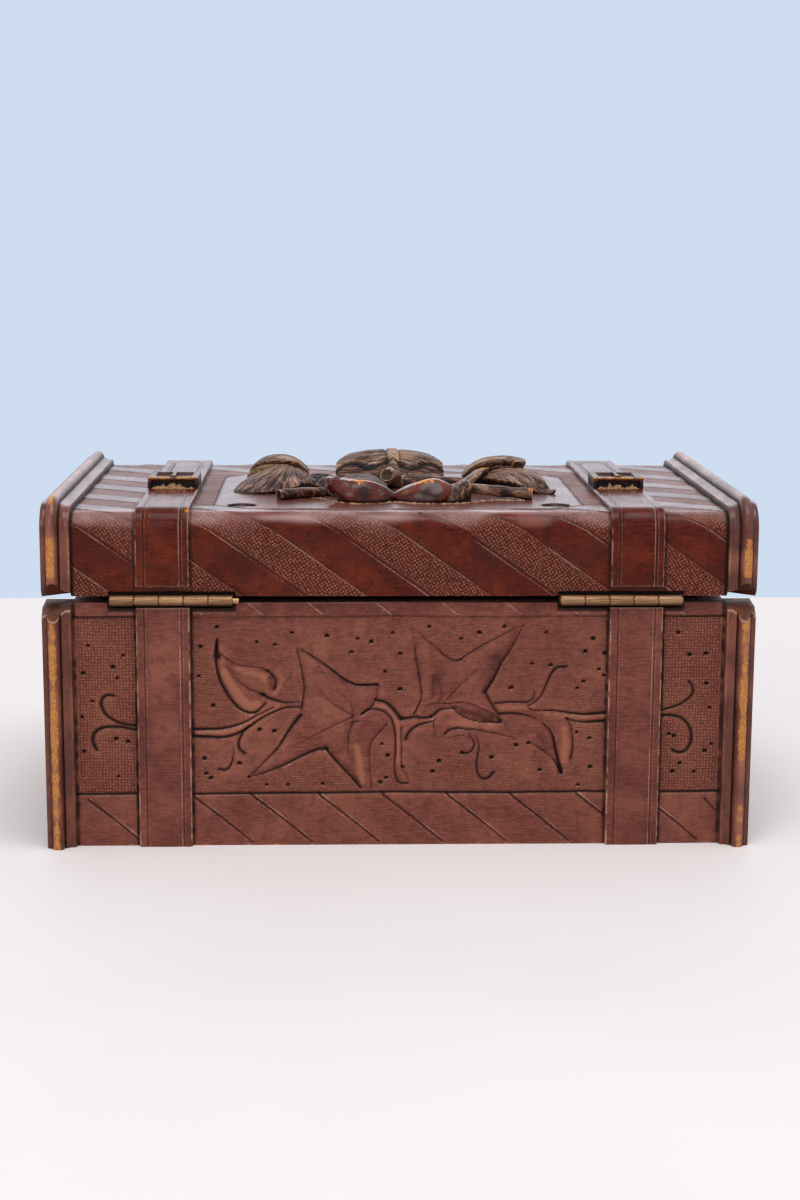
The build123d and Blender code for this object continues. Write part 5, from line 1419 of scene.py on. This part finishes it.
class Graph:
    """Builds the nodes of a material or of the world."""

    def __init__(self, owner):
        owner.use_nodes = True
        self.tree = owner.node_tree
        self.tree.nodes.clear()

    def put(self, socket, value):
        if isinstance(value, bpy.types.NodeSocket):
            self.tree.links.new(value, socket)
        else:
            socket.default_value = value

    def node(self, kind, output, settings=(), **inputs):
        """One output of a new node. Its inputs are given by name, or by number as i0, i1 and so on."""
        n = self.tree.nodes.new("ShaderNode" + kind)
        for key, value in dict(settings).items():
            setattr(n, key, value)
        for key, value in inputs.items():
            self.put(n.inputs[int(key[1:]) if key[0] == "i" and key[1:].isdigit() else key], value)
        return n.outputs[output]

    def maths(self, operation, a, b=0.0, clamp=False):
        return self.node("Math", 0, {"operation": operation, "use_clamp": clamp}, i0=a, i1=b)

    def times(self, a, b):
        return self.maths("MULTIPLY", a, b)

    def plus(self, a, b, clamp=False):
        return self.maths("ADD", a, b, clamp)

    def mix(self, share, a, b):
        """Mixes two colours, each of them a socket or a colour as it is seen on screen."""
        a, b = (rgb(*c) if isinstance(c, tuple) else c for c in (a, b))
        return self.node("Mix", 2, {"data_type": "RGBA"}, i0=share, i6=a, i7=b)

    def scaled(self, vector, scale):
        return self.node("Mapping", 0, Vector=vector, Scale=scale)

    def noise(self, vector, scale, detail=4.0, rough=0.55, distortion=0.0):
        return self.node("TexNoise", 0, Vector=vector, Scale=scale, Detail=detail, Roughness=rough,
                         Distortion=distortion)

    def ramp(self, value, low, high, to_low=0.0, to_high=1.0):
        return self.node("MapRange", 0, {"interpolation_type": "SMOOTHSTEP"},
                         i0=value, i1=low, i2=high, i3=to_low, i4=to_high)

    def ragged(self, tone, grain, amount):
        """A tone with its edges broken up by a noise."""
        return self.plus(tone, self.times(self.maths("SUBTRACT", grain, 0.5), amount))

    def bump(self, height, strength, distance, *normal):
        return self.node("Bump", 0, Height=height, Strength=strength, Distance=distance,
                         **{"Normal": under for under in normal})

    def place_inside(self, scale=100.0):
        """The place inside a piece: in centimetres, unless another scale is given."""
        return self.scaled(self.node("TexCoord", "Object"), (scale, scale, scale))

    def kept(self, name, output):
        return self.node("Attribute", output, {"attribute_name": name})

    def tone(self, channel):
        """One tone of a carved surface, as write_tones kept it."""
        if channel == GLAZE_AND_SHADING:
            return self.kept("glaze_and_shading", "Fac")
        if channel == WEAR:
            return self.kept("carve", "Alpha")
        return self.node("SeparateColor", channel, i0=self.kept("carve", "Color"))


class Surface(Graph):
    """Builds a material in layers."""

    def __init__(self, name):
        self.material = bpy.data.materials.new(name)
        super().__init__(self.material)

    def start(self, share, a, b):
        self.colour = self.mix(share, a, b)

    def lay(self, tone, share, amount=None):
        """Covers the colour so far with one more tone."""
        self.colour = self.mix(share if amount is None else self.times(share, amount), self.colour, tone)

    def done(self, rough, normal=None, specular=0.5, metallic=0.0):
        shader = self.tree.nodes.new("ShaderNodeBsdfPrincipled")
        values = {"Base Color": self.colour, "Roughness": rough, "Normal": normal,
                  "Specular IOR Level": specular, "Metallic": metallic}
        for key, value in values.items():
            if value is not None:
                self.put(shader.inputs[key], value)
        self.tree.links.new(shader.outputs[0], self.tree.nodes.new("ShaderNodeOutputMaterial").inputs[0])
        return self.material


GRIME_AND_SHADE = (20, 10, 8)


def matting(g, place, share, net_turn):
    """The matting punch's marks: a square net of small pits, or fine ripples where it was drawn along."""
    drift = g.node("VectorMath", 0, {"operation": "SCALE"}, Scale=0.13,
                   i0=g.node("TexNoise", 1, Vector=place, Scale=0.9, Detail=2.0))
    bent = g.node("VectorMath", 0, {"operation": "ADD"}, i0=place, i1=drift)
    turned = g.node("Mapping", 0, Vector=bent, Rotation=(0, 0, net_turn), Scale=(1, 1, 0.02))
    net = g.node("TexVoronoi", 0, {"feature": "F1", "voronoi_dimensions": "3D"}, Vector=turned, Scale=9.8,
                 Randomness=0.3)
    ripples = g.node("TexWave", 1, {"bands_direction": "Y"}, Vector=bent, Scale=4.3, Distortion=5.5, Detail=3.0)
    ripples = g.times(g.ramp(ripples, 0.25, 0.75), g.ramp(g.noise(place, 7.0, 3.0, 0.7), 0.35, 0.6, 0.25, 1.0))
    return g.node("Mix", 0, {"data_type": "FLOAT"}, i0=g.ramp(share, 0.5, 0.8), i2=ripples,
                  i3=g.ramp(net, 0.10, 0.52, 1.0, 0.0))


def carved_wood(name, dark, body, light, rough, grain=(1.0, 9.0, 9.0), stipple=1.0, specular=0.3,
                knob=(150, 98, 80), pit=(56, 26, 20), dark_glaze_and_shade=(66, 24, 16), light_glaze_and_highlight=(158, 96, 74),
                rim=(164, 124, 108), net_turn=0.0, worn=((146, 78, 30), (222, 144, 44)), grain_strength=0.5,
                grit=0.35, knife=0.0):
    """Stained wood: grain along the piece, dark dirt and painted shade where it is cut in, pale rims that are partly
    rubbed and partly painted highlights, a glaze that also carries painted light and shade, and worn orange edges.
    """
    g = Surface(name)
    place = g.scaled(g.kept("flat", "Vector"), (0.1, 0.1, 0.1))
    dirt, rubbed_and_lit, stippled, wear, depth = (g.tone(channel) for channel in (DIRT_AND_SHADE, RIM, STIPPLE, WEAR, GLAZE_AND_SHADING))
    streaks = g.noise(g.scaled(place, grain), 2.2, 5.0, 0.62, 0.4)
    clouds = g.noise(place, 0.55, 3.0, 0.55)
    blotches = g.noise(place, 2.6, 4.0, 0.6)
    specks = g.noise(place, 17.0, 4.0, 0.8)
    pores = g.noise(g.scaled(place, (grain[0] * 2, grain[1] * 3, grain[2] * 3)), 5.0, 2.0, 0.6)
    g.start(g.ramp(streaks, 0.30, 0.68), dark, body)
    g.lay(light, g.ramp(clouds, 0.42, 0.72), 0.5)
    g.lay(dark, g.ramp(blotches, 0.52, 0.34), 0.6)
    g.lay(dark, g.ramp(pores, 0.62, 0.42), grain_strength * 0.5)
    # the glaze tone darkens and lightens the wood: its own patchy tone, and painted shade, painted highlights and
    # painted sheen
    g.lay(dark_glaze_and_shade, g.ramp(depth, 0.0, -1.0), 0.9)
    g.lay(light_glaze_and_highlight, g.ramp(depth, 0.0, 1.0), 0.85)
    waves = matting(g, place, stippled, net_turn)
    strength = g.times(g.times(g.ramp(stippled, 0.0, 0.8), stipple), g.ramp(blotches, 0.25, 0.6, 0.55, 1.0))
    g.lay(knob, g.times(strength, waves), 0.72)
    g.lay(pit, g.times(strength, g.maths("SUBTRACT", 1.0, waves)), 0.62)
    if knife:
        marks = g.noise(g.scaled(place, (1.8, 17.0, 3.0)), 1.0, 3.0, 0.7)
        g.lay(GRIME_AND_SHADE, g.ramp(marks, 0.5, 0.40), knife)
        g.lay(light, g.ramp(marks, 0.52, 0.62), 0.7 * knife)
    g.lay(light_glaze_and_highlight, g.ramp(specks, 0.57, 0.73), grit)
    g.lay(GRIME_AND_SHADE, g.ramp(specks, 0.44, 0.31), grit)
    # pale rims: rubbed edges and dust, and painted highlights
    g.lay(rim, g.ramp(g.ragged(rubbed_and_lit, specks, 1.0), 0.25, 0.9), 0.85)
    torn = g.ragged(wear, g.noise(place, 9.0, 5.0, 0.7), 1.1)
    bare = g.times(g.ramp(torn, 0.32, 0.62), g.ramp(wear, 0.02, 0.12))
    g.lay(g.mix(g.ramp(g.noise(place, 14.0, 4.0, 0.7), 0.38, 0.6), *worn), bare)
    # dark where the dirt tone is: dirt, and painted shade in hollows and under edges
    g.lay(GRIME_AND_SHADE, g.ramp(g.ragged(dirt, specks, 0.45), 0.15, 0.95), 0.96)
    dull = g.times(g.plus(g.plus(strength, dirt), bare), 0.2)
    normal = g.bump(streaks, 0.12 * grain_strength, 0.0004)
    normal = g.bump(g.times(waves, strength), 0.8, 0.0003, normal)
    normal = g.bump(specks, 0.12, 0.0003, normal)
    if knife:
        normal = g.bump(marks, 0.7, 0.0006, normal)
    return g.done(g.plus(g.ramp(clouds, 0.3, 0.7, *rough), dull, True), normal, specular)


def old_brass(name, base=(154, 112, 76), dull=(80, 52, 35), bright=(206, 168, 120)):
    """Tarnished brass: browned, streaked along the barrel, lighter along the knuckles' painted highlight band, partly
    rubbed, and darker in the seams and on their painted shaded underside.
    """
    g = Surface(name)
    place = g.place_inside()
    streaks = g.noise(g.scaled(place, (0.3, 14.0, 14.0)), 3.0, 5.0, 0.65, 0.6)
    fine = g.noise(place, 30.0, 3.0, 0.7)
    g.start(g.ramp(streaks, 0.41, 0.55), dull, base)
    g.lay((128, 92, 78), g.ramp(g.noise(place, 1.3, 3.0, 0.6), 0.48, 0.68), 0.6)
    g.lay(bright, g.ramp(fine, 0.55, 0.75), 0.4)
    # the wear tone: on the knuckles a painted highlight band, partly rubbed brass
    g.lay(bright, g.tone(WEAR), 0.5)
    # the dirt tone: dark seams, and painted shade on the knuckles' underside
    g.lay((22, 14, 8), g.tone(DIRT_AND_SHADE))
    normal = g.bump(fine, 0.25, 0.0003, g.bump(streaks, 0.2, 0.0004))
    return g.done(g.ramp(streaks, 0.3, 0.7, 0.5, 0.34), normal, specular=0.3, metallic=0.6)


def plain_wood(name, dark, body):
    """Bare stained boards inside the box: open straight grain and no carving."""
    g = Surface(name)
    place = g.place_inside()
    streaks = g.noise(g.scaled(place, (0.4, 6.0, 6.0)), 2.0, 6.0, 0.62, 0.8)
    fine = g.noise(g.scaled(place, (1.2, 22.0, 22.0)), 3.0, 3.0, 0.7)
    g.start(g.ramp(streaks, 0.32, 0.66), dark, body)
    g.lay(dark, g.ramp(fine, 0.6, 0.8), 0.5)
    return g.done(g.ramp(streaks, 0.3, 0.7, 0.62, 0.5), g.bump(fine, 0.2, 0.0003), specular=0.25)


def soft_matter(name, low, high, rough, grain):
    """Crumbs of dust and wax, or worn leather: mottled and dull."""
    g = Surface(name)
    lumps = g.noise(g.place_inside(), grain, 4.0, 0.7)
    g.start(g.ramp(lumps, 0.35, 0.65), low, high)
    return g.done(g.ramp(lumps, 0.3, 0.7, rough, rough - 0.15), g.bump(lumps, 0.6, 0.0005))


CASE_WOOD = carved_wood("case_wood", (92, 47, 38), (136, 74, 61), (160, 96, 76), (0.62, 0.52), specular=0.2,
                        grit=0.85, knob=(176, 112, 87), pit=(86, 43, 33), rim=(200, 158, 140))
# its light glaze colour paints the sheen along the rounded edge and on the panel
LID_WOOD = carved_wood("lid_wood", (52, 13, 4), (102, 29, 8), (138, 54, 22), (0.28, 0.20), specular=0.13,
                       grit=0.25, knob=(182, 120, 92), pit=(78, 30, 17), light_glaze_and_highlight=(182, 148, 146),
                       rim=(172, 134, 114), net_turn=math.radians(-32.5))
TRIM_WOOD = carved_wood("trim_wood", (62, 24, 15), (112, 50, 31), (152, 82, 52), (0.38, 0.28), stipple=0.5,
                        specular=0.42, rim=(168, 128, 100), worn=((136, 76, 38), (212, 142, 60)))
CARVING_WOOD = carved_wood("carving_wood", (44, 23, 16), (94, 55, 41), (166, 118, 94), (0.46, 0.36), stipple=0.0,
                           specular=0.2, grain=(1.2, 9.0, 3.0), rim=(186, 154, 128), knife=0.8,
                           light_glaze_and_highlight=(176, 138, 112), grain_strength=1.0)
# the pale rim and light glaze colours paint the nuts' highlights, the dark glaze their painted shade
NUT_WOOD = carved_wood("nut_wood", (52, 15, 7), (106, 38, 19), (140, 66, 38), (0.26, 0.20), stipple=0.0,
                       grain=(2.0, 5.0, 5.0), grain_strength=0.25, dark_glaze_and_shade=(38, 9, 5),
                       light_glaze_and_highlight=(164, 100, 70), rim=(222, 186, 168))
BUCKLE_WOOD = carved_wood("buckle_wood", (48, 24, 16), (92, 50, 34), (130, 84, 56), (0.45, 0.35), stipple=0.0,
                          grain=(4.0, 6.0, 6.0))
PLUG_WOOD = carved_wood("plug_wood", (30, 18, 14), (58, 34, 26), (84, 54, 42), (0.5, 0.4), stipple=0.0,
                        grain=(2.0, 9.0, 9.0))
INSIDE_WOOD = plain_wood("inside_wood", (74, 44, 34), (112, 72, 54))
BRASS = old_brass("hinge_brass")
SCREW_BRASS = old_brass("screw_brass", (160, 124, 76), (104, 74, 44), (206, 168, 104))
PAD_LEATHER = soft_matter("pad_leather", (52, 34, 26), (96, 66, 48), 0.85, 22.0)
DUST = soft_matter("old_dust", (66, 40, 24), (198, 156, 112), 0.9, 26.0)


# ---------------------------------------------------------------- putting it together
def place(piece, body, slot, material, *nodes, inner=None):
    """Sets a piece's material and body, and hides the solids it stands for. The slot is not used."""
    piece.data.materials.clear()
    piece.data.materials.append(material)
    if inner is not None:
        add_inner(piece, inner)
    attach(piece, body)
    if nodes:
        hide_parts(*nodes)
    return piece


SMALLEST_BOARD = 2e-6  # square metres


def add_inner(piece, axis):
    """Bare wood on the faces that look into the box: axis is the direction they look in."""
    piece.data.materials.append(INSIDE_WOOD)
    faces = piece.data.polygons
    looks_in = (read(faces, "normal", 3) @ axis > 0.985) & (read(faces, "area", 1)[:, 0] > SMALLEST_BOARD)
    faces.foreach_set("material_index", looks_in.astype(int))
    piece.data.update()


place(long_wall("wall_back", -1), "case", "case_wood", CASE_WOOD, "back_panel", inner=(0, 1, 0))
place(long_wall("wall_front", 1), "case", "case_wood", CASE_WOOD, "front_panel", inner=(0, -1, 0))
for side, word in ((-1, "left"), (1, "right")):
    place(end_wall(f"wall_end_{word}", side, DEPTH_HALF - WALL, 0.0, CASE_TOP, CASE_HALF - WALL, True),
          "case", "case_wood", CASE_WOOD, f"end_panel_{word}", inner=(-side, 0, 0))
    end = end_wall(f"lid_end_face_{word}", side, DEPTH_HALF - WALL, LID_BASE, BOARD_BASE, CASE_HALF - WALL, False)
    place(end, "lid", "lid_wood", LID_WOOD, f"lid_end_{word}", inner=(-side, 0, 0))


def post_wear(strength, faint):
    return lambda z: strength * smooth(81.6, 80.8, z) * (1 - faint * smooth(42, 34, z) * smooth(2, 7, z))


def lid_wear(strength, low, high):
    def wear(s):
        back = smooth(low - 1.5, low + 1.0, s) * smooth(high + 2.5, high - 1.0, s)
        front = 0.6 * smooth(low - 1.5, low + 1.0, S_END - s) * smooth(high + 2.5, high - 1.0, S_END - s)
        corner = 0.5 * bell(s - S_TOP + 1.5, 2.5) + 0.3 * bell(S_END - s - S_TOP + 1.5, 2.5)
        return np.maximum(strength * np.maximum(back, front), corner) + 0.22 * smooth(S_TOP, S_TOP + 3, s)
    return wear


for side, word in ((-1, "left"), (1, "right")):
    for depth, end in ((-1, "back"), (1, "front")):
        wear = post_wear(*((0.82, 0.12) if side < 0 else (0.84, 0.42)))
        place(post(f"corner_{end}_{word}", side, depth, wear), "case", "case_wood", TRIM_WOOD, f"post_{end}_{word}")
        place(case_strap(f"strap_{end}_{word}", side * STRAP_X, depth), "case", "case_wood", CASE_WOOD,
              f"case_strap_{end}_{word}")
    place(lid_moulding(f"lid_border_{word}", side, lid_wear(1.0 if side < 0 else 0.72, 5.5, 19.5)),
          "lid", "lid_wood", TRIM_WOOD, f"lid_moulding_{word}")
    place(lid_strap(f"strap_lid_{word}", side * STRAP_X), "lid", "lid_wood", LID_WOOD, f"lid_strap_{word}")
    place(buckle(f"buckle_frame_{word}", side * STRAP_X), "lid", "carving_wood", BUCKLE_WOOD, f"buckle_{word}")
    place(prong(f"buckle_pin_{word}", side * STRAP_X), "lid", "carving_wood", BUCKLE_WOOD, f"buckle_prong_{word}")
    x, y = side * STRAP_X, BUCKLE_FRONT
    dust = crumbs(f"dust_buckle_{word}", (x - 7.3, x + 7.3), (y - 0.6, y + 1.9), STRAP_TOP, 1.7, side + 3)
    place(dust, "lid", "carving_wood", DUST)

place(lid_top_board("lid_top"), "lid", "lid_wood", LID_WOOD, "lid_board", inner=(0, 0, -1))
place(lid_rail("lid_rail_back", True), "lid", "lid_wood", LID_WOOD, "lid_back_rail", inner=(0, 1, 0))
place(lid_rail("lid_rail_front", False), "lid", "lid_wood", LID_WOOD, "lid_front_rail", inner=(0, -1, 0))
for side, word in ((-1, "left"), (1, "right")):
    place(plug(f"plug_{word}", side * PLUG_X, PLUG_Y), "lid", "plug_wood", PLUG_WOOD, "lid_plugs")
    x = HINGE_X[0] if side < 0 else HINGE_X[1]
    place(hinge_leaf(f"hinge_lower_{word}", x, CASE_TOP, 0, 0.8 if side > 0 else 0.0),
          "case", "hinge_brass", BRASS, f"hinge_case_leaf_{word}")
    place(hinge_leaf(f"hinge_upper_{word}", x, LID_BASE - PLATE_THICKNESS, 1, 0.0),
          "lid", "hinge_brass", BRASS, f"hinge_lid_leaf_{word}")

for piece, node in carving():
    material = (NUT_WOOD if piece.name.startswith(("nut_left", "nut_right", "nut_tip"))
                else DUST if piece.name.startswith("dust") else CARVING_WOOD)
    place(piece, "lid", "carving_wood", material, node)
DUST_LINE = [(-36.5, -34.6), (-29.2, -31.6), (-23.8, -36.5), (-19.5, -43.8), (-13.5, -47.2), (-7.5, -46.6),
             (-2.2, -43.2), (0.5, -43), (5.5, -46.2), (12, -47.6), (19.7, -46.6), (25.8, -42.9), (30, -38.5),
             (37.5, -38.4), (43, -38.8)]
place(litter("dust_carving", DUST_LINE, LID_TOP, 0.4, 9), "lid", "carving_wood", DUST)

for node, material, slot in (
    ("base_board", INSIDE_WOOD, "plain_wood"), ("lid_rest_pads", PAD_LEATHER, "pad_leather"),
    ("hinge_pin_left", BRASS, "hinge_brass"), ("hinge_pin_right", BRASS, "hinge_brass"),
    ("hinge_case_screws", SCREW_BRASS, "screw_brass"), ("hinge_lid_screws", SCREW_BRASS, "screw_brass"),
):
    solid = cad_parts[node]
    solid.data.materials.clear()
    solid.data.materials.append(material)

# ---------------------------------------------------------------- floor, light and camera
FLOOR_SIDE, FLOOR_NEAR, FLOOR_FAR = 1.6, -1.2, 0.383
floor_mesh = bpy.data.meshes.new("floor")
floor_corners = [(-FLOOR_SIDE, FLOOR_NEAR, 0), (FLOOR_SIDE, FLOOR_NEAR, 0), (FLOOR_SIDE, FLOOR_FAR, 0),
                 (-FLOOR_SIDE, FLOOR_FAR, 0)]
floor_mesh.from_pydata(floor_corners, [], [(0, 1, 2, 3)])
floor = bpy.data.objects.new("floor", floor_mesh)
bpy.context.scene.collection.objects.link(floor)
cloth = Surface("floor_pale")
cloth.start(cloth.noise(cloth.place_inside(10.0), 0.8, 3.0), (228, 221, 222), (236, 230, 230))
floor_mesh.materials.append(cloth.done(0.9))

# the camera and mirrored rays see a pale wall behind; a dimmer light falls on the box from all round
world = bpy.data.worlds.new("studio")
bpy.context.scene.world = world
sky = Graph(world)
seen_by = [sky.node("LightPath", f"Is {kind} Ray") for kind in ("Camera", "Glossy", "Transmission")]
seen = sky.maths("MAXIMUM", sky.maths("MAXIMUM", seen_by[0], seen_by[1]), seen_by[2])
fill = sky.node("Background", 0, Color=(0.93, 0.96, 1.0, 1), Strength=0.55)
wall = sky.node("Background", 0, Color=rgb(206, 221, 240), Strength=1.0)
output = sky.tree.nodes.new("ShaderNodeOutputWorld")
sky.put(output.inputs[0], sky.node("MixShader", 0, i0=seen, i1=fill, i2=wall))


def lamp(name, place_at, aim, size, power, colour):
    data = bpy.data.lights.new(name, "AREA")
    data.shape = "RECTANGLE"
    data.size, data.size_y = size
    data.energy = power
    data.color = colour
    obj = bpy.data.objects.new(name, data)
    obj.location = place_at
    obj.rotation_euler = (Vector(aim) - Vector(place_at)).to_track_quat("-Z", "Y").to_euler()
    obj.visible_camera = False
    bpy.context.scene.collection.objects.link(obj)


lamp("lamp_overhead", (0.10, -0.35, 1.15), (0, 0, 0.05), (0.9, 0.6), 8.1, (1.0, 0.985, 0.96))
lamp("lamp_behind", (0.0, 1.35, 0.75), (0, 0, 0.11), (1.7, 0.9), 7.5, (0.96, 0.98, 1.0))
lamp("lamp_front", (-0.55, -1.25, 0.75), (0, 0, 0.06), (0.6, 0.6), 4.2, (1.0, 0.985, 0.97))

CAMERA_PLACE = (-0.02102, -0.72684, 0.20570)
CAMERA_LENS, CAMERA_SENSOR = 61.52, 36.0
PITCH, YAW, ROLL = (math.radians(a) for a in (10.561, 1.817, 0.271))
forward = Vector((math.sin(YAW) * math.cos(PITCH), math.cos(YAW) * math.cos(PITCH), -math.sin(PITCH)))
level = Vector((math.cos(YAW), -math.sin(YAW), 0))
upward = level.cross(forward)
right = math.cos(ROLL) * level + math.sin(ROLL) * upward
upright = -math.sin(ROLL) * level + math.cos(ROLL) * upward
camera_data = bpy.data.cameras.new("camera")
camera_data.sensor_fit = "VERTICAL"
camera_data.sensor_height = CAMERA_SENSOR
camera_data.lens = CAMERA_LENS
camera = bpy.data.objects.new("camera", camera_data)
facing = Matrix((right, upright, -forward)).transposed().to_4x4()
camera.matrix_world = Matrix.Translation(CAMERA_PLACE) @ facing
bpy.context.scene.collection.objects.link(camera)
bpy.context.scene.camera = camera
bpy.context.scene.view_settings.view_transform = "Standard"

bpy.context.view_layer.update()
